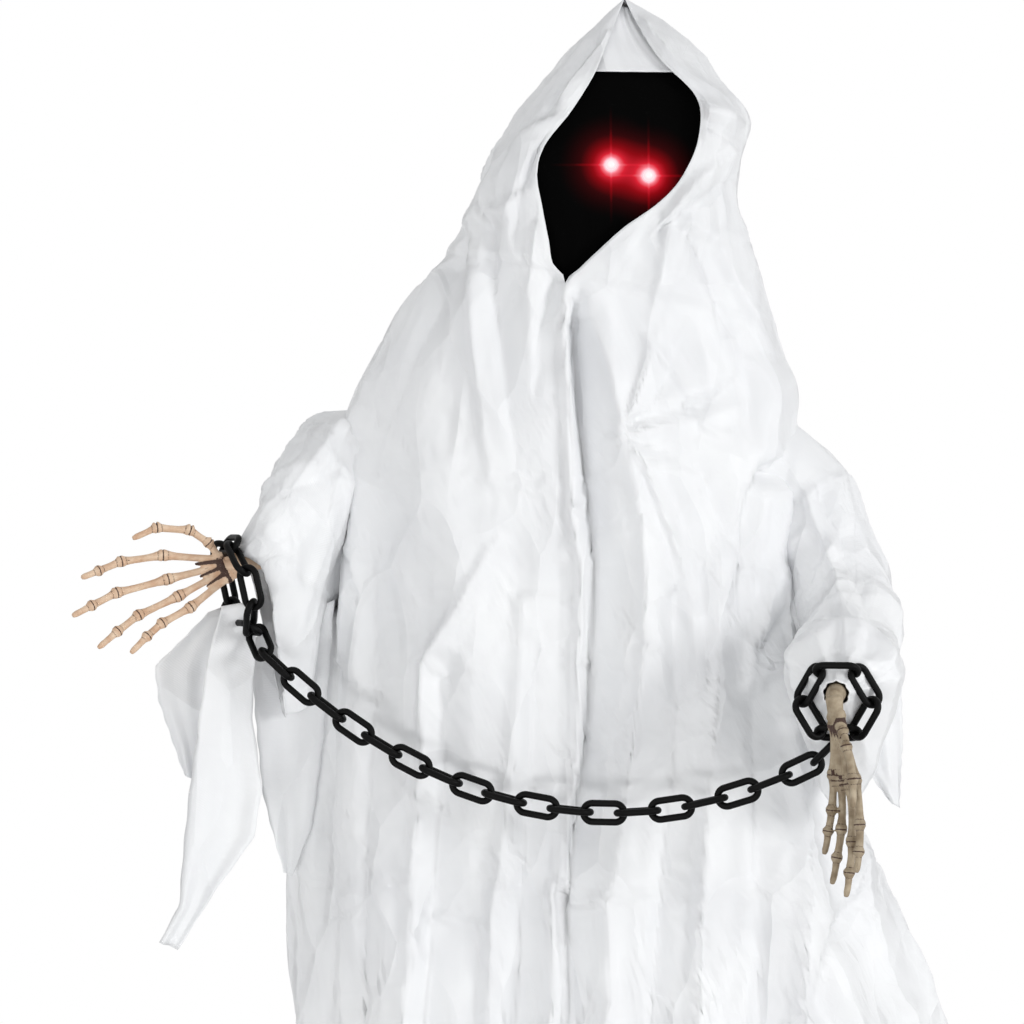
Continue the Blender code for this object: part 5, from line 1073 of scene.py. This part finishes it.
LINK_LENGTH = 0.0475
LINK_WIDTH = 0.0250
WIRE_RADIUS = 0.0034
LINK_GAP = 0.0003
TIE_GAP = 0.0008
CHAIN_LINKS = 18
CHAIN_SPAN = 0.554
CHAIN_FALL = 0.100
CHAIN_BEARING = math.radians(-12)
TIE_LEAN = math.radians(38)
LEFT_TIE_SLOPE = math.radians(-62)
RIGHT_TIE_SLOPE = math.radians(45)
LEFT_WRAP_LINKS = 8
RIGHT_WRAP_LINKS = 6
WRAP_LAP = 0.0010
LEFT_WRAP_OFFSET = 0.003
RIGHT_WRAP_OFFSET = 0.030
WRAP_TWIST = math.radians(45)
STUB_RADIUS = 0.0105
LEFT_WRIST = (-0.345, -0.130, 1.016)
LEFT_FOREARM = (-0.915, -0.33, -0.22)
RIGHT_FOREARM = (-0.20, -1.0, -0.15)
PITCH_RADIUS = LINK_WIDTH / 2 - WIRE_RADIUS
ARC_OFFSET = (LINK_LENGTH - LINK_WIDTH) / 2
LINK_SIZES = {"Link length": LINK_LENGTH, "Link width": LINK_WIDTH, "Wire radius": WIRE_RADIUS}
LINK_BEND_SHARE = 0.4999  # of the width, so that a straight part is left
BEND_STEPS = 10
WIRE_SIDES = 14


def in_plane(direction, normal):
    flat = direction - normal * direction.dot(normal)
    return flat.normalized()


def next_link(middle, along, normal, next_along, next_normal, reach):
    """Middle of the link that hangs in this one, with its wire reach away from this one's wire."""
    pull = (along + next_along).normalized()
    own = in_plane(normal, along)
    other = in_plane(next_normal, next_along)
    inner = middle + along * ARC_OFFSET + in_plane(pull, own) * PITCH_RADIUS
    touch = inner - pull * reach
    return touch + in_plane(pull, other) * PITCH_RADIUS + next_along * ARC_OFFSET


def sag_slopes():
    pitch = LINK_LENGTH - WIRE_RADIUS * 4 - LINK_GAP
    length = pitch * CHAIN_LINKS
    chord = math.sqrt(length ** 2 - CHAIN_FALL ** 2)
    low, high = CHAIN_SPAN / 100, CHAIN_SPAN * 100
    for _ in range(80):
        scale = math.sqrt(low * high)
        if 2 * scale * math.sinh(CHAIN_SPAN / 2 / scale) > chord:
            low = scale
        else:
            high = scale
    offset = scale * math.atanh(-CHAIN_FALL / length)
    first = math.sinh((-CHAIN_SPAN / 2 + offset) / scale)
    slopes = [math.atan(first + pitch * (index + 1 / 2) / scale) for index in range(CHAIN_LINKS)]
    return [LEFT_TIE_SLOPE, *slopes, RIGHT_TIE_SLOPE]


def loop_links(axis, count):
    """Links of a closed loop round the origin, with the loop's axis given; the first is the lowest."""
    along, up, side = axes_of(axis)
    turn = math.tau / count
    directions = [side * math.cos(turn * index) + up * math.sin(turn * index) for index in range(count)]
    normals = []
    for index, direction in enumerate(directions):
        outward = along.cross(direction)
        twist = WRAP_TWIST if index % 2 else -WRAP_TWIST
        normals.append(outward * math.cos(twist) + along * math.sin(twist))
    middles = [Vector((0, 0, 0))]
    for index in range(1, count):
        middles.append(next_link(middles[-1], directions[index - 1], normals[index - 1], directions[index],
                                 normals[index], WIRE_RADIUS * 2 - WRAP_LAP))
    centre = sum(middles, Vector()) / count
    return [(middle - centre, direction, normal)
            for middle, direction, normal in zip(middles, directions, normals)]


def loop_drop(links):
    middle = links[len(links) // 2][0]
    wire = middle.length - PITCH_RADIUS * math.sin(WRAP_TWIST)
    return wire - WIRE_RADIUS - STUB_RADIUS - LINK_GAP


def hook_point(links):
    middle, along, normal = links[0]
    inward = normal.cross(along)
    if inward.z > 0:
        inward = -inward
    return middle + inward * PITCH_RADIUS


def loop_centre(wrist, axis, links, offset):
    along, up, _ = axes_of(axis)
    return Vector(wrist) - along * offset - up * loop_drop(links)


def chain_places():
    """Middle, direction and plane normal of every link, from the left wrist's to the right one's."""
    flat = Vector((math.cos(CHAIN_BEARING), math.sin(CHAIN_BEARING), 0))
    across = Vector((math.sin(CHAIN_BEARING), -math.cos(CHAIN_BEARING), 0))
    directions = [flat * math.cos(slope) + Vector((0, 0, math.sin(slope))) for slope in sag_slopes()]
    directions[0] = directions[0] * math.cos(TIE_LEAN) + Vector((0, -1, 0)) * math.sin(TIE_LEAN)
    directions[0].normalize()
    normals = []
    for index, along in enumerate(directions):
        face_on = index % 2 == 0
        normals.append(across if face_on else across.cross(along))
    links = loop_links(LEFT_FOREARM, LEFT_WRAP_LINKS)
    wire = loop_centre(LEFT_WRIST, LEFT_FOREARM, links, LEFT_WRAP_OFFSET) + hook_point(links)
    along = directions[0]
    middle = wire - along * (WIRE_RADIUS * 2 - WRAP_LAP) + along * (PITCH_RADIUS + ARC_OFFSET)
    places = [(middle, directions[0], normals[0])]
    for index in range(1, len(directions)):
        gap = TIE_GAP if index in (1, len(directions) - 1) else LINK_GAP
        middle = next_link(*places[-1], directions[index], normals[index], WIRE_RADIUS * 2 + gap)
        places.append((middle, directions[index], normals[index]))
    return places


def right_wrist():
    middle, along, _ = chain_places()[-1]
    links = loop_links(RIGHT_FOREARM, RIGHT_WRAP_LINKS)
    wire = middle + along * (PITCH_RADIUS + ARC_OFFSET) - along * (WIRE_RADIUS * 2 - WRAP_LAP)
    centre = wire - hook_point(links)
    forearm, up, _ = axes_of(RIGHT_FOREARM)
    return centre + forearm * RIGHT_WRAP_OFFSET + up * loop_drop(links)


def links_tree(finish):
    """Node tree that sets an oval link of round wire on each point, turned as the point says."""
    tree = bpy.data.node_groups.new("oval_links", "GeometryNodeTree")
    tree.interface.new_socket("Places", in_out="INPUT", socket_type="NodeSocketGeometry")
    for name, value in LINK_SIZES.items():
        socket = tree.interface.new_socket(name, in_out="INPUT", socket_type="NodeSocketFloat")
        socket.default_value = value
    tree.interface.new_socket("Links", in_out="OUTPUT", socket_type="NodeSocketGeometry")
    given = node(tree, "NodeGroupInput").outputs
    wire = given["Wire radius"]
    both = maths(tree, "MULTIPLY", wire, 2.0)
    long = maths(tree, "SUBTRACT", given["Link length"], both)
    wide = maths(tree, "SUBTRACT", given["Link width"], both)
    bend = maths(tree, "MULTIPLY", wide, LINK_BEND_SHARE)
    outline = node(tree, "GeometryNodeCurvePrimitiveQuadrilateral", Width=long, Height=wide)
    round_ends = node(tree, "GeometryNodeFilletCurve", Curve=outline.outputs["Curve"], Radius=bend)
    mode = round_ends.inputs.get("Mode")
    if mode is not None:
        mode.default_value = "Poly"
    else:
        round_ends.mode = "POLY"
    round_ends.inputs["Count"].default_value = BEND_STEPS
    section = node(tree, "GeometryNodeCurvePrimitiveCircle", Radius=wire, Resolution=WIRE_SIDES)
    body = node(tree, "GeometryNodeCurveToMesh", Curve=round_ends.outputs[0],
                Profile_Curve=section.outputs["Curve"])
    smooth = node(tree, "GeometryNodeSetShadeSmooth", Geometry=body.outputs["Mesh"])
    turn = node(tree, "GeometryNodeInputNamedAttribute", {"data_type": "FLOAT_VECTOR"}, Name="turn")
    rotation = node(tree, "FunctionNodeEulerToRotation", Euler=turn.outputs["Attribute"])
    places = node(tree, "GeometryNodeMeshToPoints", Mesh=given["Places"])
    copies = node(tree, "GeometryNodeInstanceOnPoints", Points=places.outputs["Points"],
                  Instance=smooth.outputs["Geometry"], Rotation=rotation.outputs["Rotation"])
    real = node(tree, "GeometryNodeRealizeInstances", Geometry=copies.outputs["Instances"])
    painted = node(tree, "GeometryNodeSetMaterial", Geometry=real.outputs["Geometry"], Material=finish)
    out = tree.nodes.new("NodeGroupOutput")
    tree.links.new(painted.outputs["Geometry"], out.inputs["Links"])
    return tree


def build_links(name, places, tree):
    """One mesh of links from their middles, directions and plane normals."""
    mesh = bpy.data.meshes.new(name)
    mesh.from_pydata([tuple(middle) for middle, _, _ in places], [], [])
    turns = mesh.attributes.new("turn", "FLOAT_VECTOR", "POINT")
    for index, (_, along, normal) in enumerate(places):
        x = along.normalized()
        z = in_plane(normal, x)
        matrix = Matrix((x, z.cross(x), z)).transposed()
        turns.data[index].vector = matrix.to_euler("XYZ")
    thing = new_object(name, mesh)
    made = thing.modifiers.new("links", "NODES")
    made.node_group = tree
    for item in tree.interface.items_tree:
        if item.name in LINK_SIZES:
            made[item.identifier] = LINK_SIZES[item.name]
    plain_mesh(thing)
    if not thing.data.materials:
        thing.data.materials.append(FINISHES["black_chain_plastic"])
    return thing


# Hands

HAND_LENGTH = 0.180
STUB_LENGTH = 0.046
LEFT_HAND_DIRECTION = (-0.905, -0.30, -0.30)
LEFT_SETBACK = 0.012  # the hand's rays start this far up the arm from the wrist
RIGHT_SETBACK = -0.008
RIGHT_HAND_DIRECTION = (0.09, -0.10, -1.0)
LEFT_PALM_NORMAL = (-0.33, -0.90, 0.05)
RIGHT_PALM_NORMAL = (-0.80, -0.60, 0.0)
BONE_GRID = 0.00085
JOINT_RADIUS = 0.0064
SHAFT_RADIUS = 0.0043
TIP_RADIUS = 0.0030
# Web between two rays of the palm: how far it lies towards the palm, and its taper along them
WEB_DEPTH = 0.0016
WEB_SHARES = (0.0, 0.15, 0.3, 0.42, 0.5)
WEB_RADII = (0.0050, 0.0044, 0.0034, 0.0022, 0.0011)
# Root of the hand and the stub that takes the arm: places along them, and radii
ROOT_PLACES = (-0.010, -0.008, 0.0, 0.008, 0.014)
ROOT_RADII = (0.0060, 0.0085, 0.0080, 0.0076, 0.0060)
STUB_PLACES = (-STUB_LENGTH, -STUB_LENGTH + 0.002, -0.030, -0.018, -0.010, -0.002, 0.003)
STUB_RADII = (0.0098, 0.0105, 0.0100, 0.0094, 0.0092, 0.0078, 0.0050)
# Bone: places along it, and how far its first and last head reach along it
BONE_SHARES = (-0.035, 0.0, 0.05, 0.12, 0.22, 0.36, 0.5, 0.64, 0.78, 0.87, 0.94, 1.0, 1.03)
FIRST_HEAD = 0.13
LAST_HEAD = 0.11
WAIST_SHARE = 0.16  # how much slimmer a shaft is at its middle
CAP_SHARE = 0.62  # radius of a bone's rounded ends
# Stain: round each joint, on the lines that part its heads, and in the gaps of the palm
JOINT_REACH, JOINT_LINE = 0.0095, 0.0009
HEAD_LINE_PLACE, HEAD_LINE, HEAD_STAIN = 0.0052, 0.0010, 0.62
PALM_REACH, PALM_BONE, PALM_FADE, PALM_STAIN = 0.009, 0.0047, 0.0012, 0.85

# joints of each ray as shares of the hand's length: along the hand, across it, towards the palm
FINGER_SHARES = {
    "thumb": ((0.10, 0.05, 0.00), (0.14, 0.16, 0.03), (0.22, 0.255, 0.06), (0.395, 0.325, 0.07),
              (0.54, 0.305, 0.08)),
    "index": ((0.09, 0.05, 0.00), (0.397, 0.184, -0.02), (0.635, 0.219, 0.00), (0.775, 0.203, 0.02),
              (0.878, 0.19, 0.05)),
    "middle": ((0.09, 0.02, 0.00), (0.416, 0.048, -0.03), (0.72, 0.059, 0.00), (0.88, 0.027, 0.03),
               (1.0, 0.0, 0.06)),
    "ring": ((0.09, -0.01, 0.00), (0.394, -0.064, -0.02), (0.65, -0.10, 0.00), (0.795, -0.156, 0.03),
             (0.928, -0.214, 0.06)),
    "little": ((0.09, -0.05, 0.00), (0.359, -0.15, 0.00), (0.545, -0.188, 0.02), (0.652, -0.236, 0.04),
               (0.769, -0.298, 0.06)),
}
# wrist bones: along, across, towards the palm, size
WRIST_SHARES = (
    (0.055, 0.050, 0.00, 0.0074), (0.060, 0.008, 0.00, 0.0082), (0.058, -0.036, 0.00, 0.0074),
    (0.105, 0.062, 0.00, 0.0068), (0.112, 0.022, 0.00, 0.0072), (0.110, -0.018, 0.00, 0.0070),
    (0.102, -0.055, 0.00, 0.0066),
)


def hand_axes(wrist, direction, palm):
    along = Vector(direction).normalized()
    back = -in_plane(Vector(palm), along)
    across = back.cross(along)
    turned = Matrix((across, back, along)).transposed().to_4x4()
    return Matrix.Translation(wrist) @ turned


def add_tube(form, points, radii, sides=14):
    """Closed tube of changing radius through points."""
    rings = []
    previous = None
    for index, point in enumerate(points):
        ahead = points[min(index + 1, len(points) - 1)] - points[max(index - 1, 0)]
        ahead.normalize()
        if previous is None:
            side = ahead.orthogonal().normalized()
        else:
            side = in_plane(previous, ahead)
        previous = side
        other = ahead.cross(side)
        rings.append([form.verts.new(point + (side * math.cos(math.tau * turn / sides)
                                              + other * math.sin(math.tau * turn / sides)) * radii[index])
                      for turn in range(sides)])
    for ring, following in zip(rings, rings[1:]):
        for turn in range(sides):
            after = (turn + 1) % sides
            form.faces.new((ring[turn], ring[after], following[after], following[turn]))
    form.faces.new(rings[0][::-1])
    form.faces.new(rings[-1])


def bone_points(start, end, first, last, bow):
    """Points and radii of a bone: swollen at both ends and slim between them."""
    points, radii = [], []
    length = (end - start).length
    for share in BONE_SHARES:
        clamped = min(1.0, max(0.0, share))
        swell = first * math.exp(-((clamped / FIRST_HEAD) ** 2)) \
            + last * math.exp(-(((1 - clamped) / LAST_HEAD) ** 2))
        radius = SHAFT_RADIUS * (1 - WAIST_SHARE * math.sin(math.pi * clamped)) + swell
        if share < 0 or share > 1:
            radius *= CAP_SHARE
        points.append(start + (end - start) * share + bow * math.sin(math.pi * clamped) * length)
        radii.append(radius)
    return points, radii


def build_hand(name, wrist, direction, palm, thumb_side, spread, curl, setback, forearm, finish):
    """Skeleton hand: wrist bones, rays of slim bones with swollen ends, and the stub that takes the arm."""
    wrist = Vector(wrist)
    frame_of_hand = hand_axes(wrist - Vector(direction).normalized() * setback, direction, palm)
    form = bmesh.new()
    stained = []
    rays = []
    for shares in FINGER_SHARES.values():
        joints = [Vector((-thumb_side * across * spread, -depth * curl, along)) * HAND_LENGTH
                  for along, across, depth in shares]
        for index, (start, end) in enumerate(zip(joints, joints[1:])):
            first = (JOINT_RADIUS - SHAFT_RADIUS) * (0.55 if index == 0 else 1.0)
            last = JOINT_RADIUS - SHAFT_RADIUS
            if index == len(joints) - 2:
                last = -(SHAFT_RADIUS - TIP_RADIUS)
            bow = Vector((0, 0.035 if index else 0.02, 0))
            points, radii = bone_points(start, end, first, last, bow)
            if index == len(joints) - 2:
                radii = [radius * (1 - 0.25 * step / len(radii)) for step, radius in enumerate(radii)]
            add_tube(form, points, radii)
            if index:
                stained.append((start, (end - joints[index - 1]).normalized(), 1.0))
        rays.append((joints[0], joints[1]))
    for along, across, depth, size in WRIST_SHARES:
        middle = Vector((-thumb_side * across * spread, -depth, along)) * HAND_LENGTH
        made = bmesh.ops.create_icosphere(form, subdivisions=2, radius=size,
                                          matrix=Matrix.Translation(middle))
        bmesh.ops.scale(form, vec=(1.0, 0.95, 1.15), space=Matrix.Translation(-middle), verts=made["verts"])
    # the thin web that the mould leaves deep between the rays of the palm
    for (start, end), (other_start, other_end) in zip(rays[1:], rays[2:]):
        low, high = start.lerp(other_start, 0.5), end.lerp(other_end, 0.5)
        steps = [low.lerp(high, share) - Vector((0, WEB_DEPTH, 0)) for share in WEB_SHARES]
        add_tube(form, steps, WEB_RADII, 12)
    add_tube(form, [Vector((0, 0, along)) for along in ROOT_PLACES], ROOT_RADII, 20)
    inverse = frame_of_hand.inverted() @ hand_axes(wrist, forearm, (0, 0, -1))
    add_tube(form, [inverse @ Vector((0, 0, along)) for along in STUB_PLACES], STUB_RADII, 24)
    bmesh.ops.recalc_face_normals(form, faces=form.faces)
    mesh = bpy.data.meshes.new(name)
    form.to_mesh(mesh)
    form.free()
    hand = new_object(name, mesh)
    fuse = hand.modifiers.new("fuse", "REMESH")
    fuse.mode = "VOXEL"
    fuse.voxel_size = BONE_GRID
    plain_mesh(hand)
    carve_hand(hand, stained, rays)
    hand.data.transform(frame_of_hand)
    hand.data.shade_smooth()
    hand.data.materials.clear()
    hand.data.materials.append(finish)
    return hand


def carve_hand(hand, stained, rays):
    """Grooves of the moulded bone, and how dark its joints and the gaps of its palm are stained."""
    mesh = hand.data
    count = len(mesh.vertices)
    points = np.empty(count * 3)
    normals = np.empty(count * 3)
    mesh.vertices.foreach_get("co", points)
    mesh.vertices.foreach_get("normal", normals)
    points, normals = points.reshape(-1, 3), normals.reshape(-1, 3)
    stain = np.zeros(count)
    groove = np.zeros(count)
    for joint, direction, amount in stained:
        offset = points - np.array(joint)
        along = offset @ np.array(direction)
        near = np.linalg.norm(offset - along[:, None] * np.array(direction), axis=1) < JOINT_REACH
        line = near * np.exp(-((along / JOINT_LINE) ** 2))
        heads = near * np.exp(-(((np.abs(along) - HEAD_LINE_PLACE) / HEAD_LINE) ** 2))
        stain = np.maximum(stain, amount * np.maximum(line, heads * HEAD_STAIN))
        groove += (line * 0.7 + heads * 0.25) / 1000
    # long grooves that run down each bone, and the dark gaps between the rays
    nearest = np.full(count, 1.0)
    for start, end in rays:
        start, span = np.array(start), np.array(end - start)
        share = (points - start) @ span / (span @ span)
        away = np.linalg.norm(points - start - np.clip(share, 0, 1)[:, None] * span, axis=1)
        nearest = np.minimum(nearest, np.where((share > 0.02) & (share < 0.9), away, 1.0))
    gap = (nearest < PALM_REACH) * np.clip((nearest - PALM_BONE) / PALM_FADE, 0, 1)
    stain = np.maximum(stain, gap * PALM_STAIN)
    for index, point in enumerate(points):
        streak = noise.noise(Vector((point[0] * 900, point[1] * 900, point[2] * 70)))
        stain[index] = max(stain[index], (streak - 0.28) * 1.5)
        groove[index] += max(0.0, streak - 0.15) * 0.0006
    points -= normals * groove[:, None]
    mesh.vertices.foreach_set("co", points.reshape(-1))
    attribute = mesh.attributes.new("stain", "FLOAT", "POINT")
    attribute.data.foreach_set("value", stain)
    mesh.update()


# Stage

FLOOR_SIZE = 60
FLOOR_GAP = 0.001
FLOOR_FADE = (1.0, 3.0)  # the floor is itself up to the first distance, and white from the second


def seen_directly(tree):
    """1 for what the camera sees, also in a mirror or through glass."""
    path = node(tree, "ShaderNodeLightPath").outputs
    mirrored = maths(tree, "MAXIMUM", path["Is Glossy Ray"], path["Is Transmission Ray"])
    return maths(tree, "MAXIMUM", path["Is Camera Ray"], mirrored)


def build_stage():
    """Pale floor that keeps the shadow of the ghost near it, and white all round for the camera."""
    bpy.ops.mesh.primitive_plane_add(size=1)
    floor = bpy.context.object
    floor.name = "floor"
    floor.data.transform(Matrix.Scale(FLOOR_SIZE, 4))
    floor.location = (0, 0, -FLOOR_GAP)
    finish = bpy.data.materials.new("stage_floor")
    finish.use_nodes = True
    tree = finish.node_tree
    tree.nodes.clear()
    place = node(tree, "ShaderNodeNewGeometry").outputs["Position"]
    far = smooth_range(tree, vector_maths(tree, "LENGTH", place), *FLOOR_FADE)
    share = maths(tree, "MULTIPLY", far, seen_directly(tree))
    matt = node(tree, "ShaderNodeBsdfDiffuse", Color=colour("#F1F1F1"))
    white = node(tree, "ShaderNodeEmission", Color=(1, 1, 1, 1), Strength=1.0)
    mixed = node(tree, "ShaderNodeMixShader", _0=share, _1=matt.outputs[0], _2=white.outputs[0])
    node(tree, "ShaderNodeOutputMaterial", Surface=mixed.outputs[0])
    floor.data.materials.append(finish)


def build_world():
    world = bpy.data.worlds.new("white_room")
    bpy.context.scene.world = world
    world.use_nodes = True
    tree = world.node_tree
    tree.nodes.clear()
    seen = seen_directly(tree)
    soft = node(tree, "ShaderNodeBackground", Color=(0.99, 0.995, 1.0, 1), Strength=0.68)
    white = node(tree, "ShaderNodeBackground", Color=(1, 1, 1, 1), Strength=1.0)
    mixed = node(tree, "ShaderNodeMixShader", _0=seen, _1=soft.outputs[0], _2=white.outputs[0])
    node(tree, "ShaderNodeOutputWorld", Surface=mixed.outputs[0])


def area_light(name, place, target, size, power):
    light = bpy.data.lights.new(name, "AREA")
    light.shape = "RECTANGLE"
    light.size, light.size_y = size
    light.energy = power
    lamp = new_object(name, light)
    lamp.location = place
    lamp.rotation_euler = (Vector(target) - Vector(place)).to_track_quat("-Z", "Y").to_euler()


def build_camera():
    camera = new_object("camera", bpy.data.cameras.new("camera"))
    camera.location = EYE_POINT
    camera.rotation_euler = (math.pi / 2, 0, 0)
    camera.data.lens = LENS_MM
    camera.data.sensor_width = SENSOR_MM
    camera.data.clip_end = 100
    bpy.context.scene.camera = camera
    view = bpy.context.scene.render
    view.resolution_x = view.resolution_y = VIEW_STEPS
    bpy.context.scene.view_settings.view_transform = "Standard"


# Robe

robe = build_robe()
thicken(robe)
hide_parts("robe", "hood")
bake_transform(robe)

# Sleeves
for side, start, table, strips, wrist, forearm, cuff, seed in (
        ("left", LEFT_SLEEVE_START, LEFT_SLEEVE_SHARES, LEFT_STRIPS, LEFT_WRIST, LEFT_FOREARM,
         LEFT_CUFF, 11.0),
        ("right", RIGHT_SLEEVE_START, RIGHT_SLEEVE_SHARES, RIGHT_STRIPS, right_wrist(), RIGHT_FOREARM,
         RIGHT_CUFF, 29.0)):
    sleeve, pieces = build_sleeve("sleeve_" + side + "_cloth", start, table, strips, wrist, forearm, cuff,
                                  seed)
    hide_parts("sleeve_" + side)
    for piece in (sleeve, *pieces):
        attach(piece, "torso")

# Face
left_glow, right_glow = (HEAD @ (eye_place(side) + Vector((0, -EYE_TIP, 0))) for side in (-1, 1))
# the gauze has a red glow painted on it round each eye
veil = face_sheet("face_gauze", False, VEIL_LAP, VEIL_SETBACK, 90, gauze((left_glow, right_glow)), 0.003)
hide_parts("face_veil")
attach(veil, "head")
lining = face_sheet("hood_lining", True, 0.004, 0.008, 30, FINISHES["white_satin_cloth"], 0.0)
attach(lining, "head")
for side, name in ((-1, "left"), (1, "right")):
    glow = left_glow if side < 0 else right_glow
    lens = build_lens("eye_lens_" + name, side, lit_lens(glow))
    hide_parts("eye_" + name)
    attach(lens, "head")

# Hands
# The right hand's bone colours are darker and greyer than the left's: painted shade on the same PVC
for side, wrist, direction, palm, thumb, spread, curl, setback, forearm, pale, deep in (
        ("left", Vector(LEFT_WRIST), LEFT_HAND_DIRECTION, LEFT_PALM_NORMAL, -1, 1.0, 1.0, LEFT_SETBACK,
         LEFT_FOREARM, "#E6CDB2", "#C9A283"),
        ("right", right_wrist(), RIGHT_HAND_DIRECTION, RIGHT_PALM_NORMAL, 1, 0.46, 0.9, RIGHT_SETBACK,
         RIGHT_FOREARM, "#B3A48C", "#7F6E56")):
    finish = bone_plastic("bone_coloured_pvc_" + side, pale, deep)
    hand = build_hand("skeleton_hand_" + side, wrist, direction, palm, thumb, spread, curl, setback, forearm,
                      finish)
    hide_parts("hand_" + side)
    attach(hand, "torso")

# Chain
links_group = links_tree(FINISHES["black_chain_plastic"])
places = chain_places()
hanging = build_links("hanging_chain", places[1:-1], links_group)
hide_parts(*["chain_link_{:02d}".format(index) for index in range(1, CHAIN_LINKS + 1)])
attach(hanging, "chain")
for side, axis, wrist, hook, count, offset in (
        ("left", LEFT_FOREARM, LEFT_WRIST, places[0], LEFT_WRAP_LINKS, LEFT_WRAP_OFFSET),
        ("right", RIGHT_FOREARM, right_wrist(), places[-1], RIGHT_WRAP_LINKS, RIGHT_WRAP_OFFSET)):
    links = loop_links(axis, count)
    centre = loop_centre(wrist, axis, links, offset)
    loop = build_links("wrist_loop_" + side, [hook] + [(centre + middle, along, normal)
                                                        for middle, along, normal in links], links_group)
    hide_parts("wrist_wrap_" + side)
    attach(loop, "torso")

# Stage, lights and camera
build_stage()
build_world()
area_light("key", (3.7, -2.7, 1.7), (0, 0, 0.8), (1.4, 1.4), 64)
area_light("fill", (-1.0, -3.0, 0.15), (0, 0, 0.6), (1.2, 0.2), 17)
build_camera()
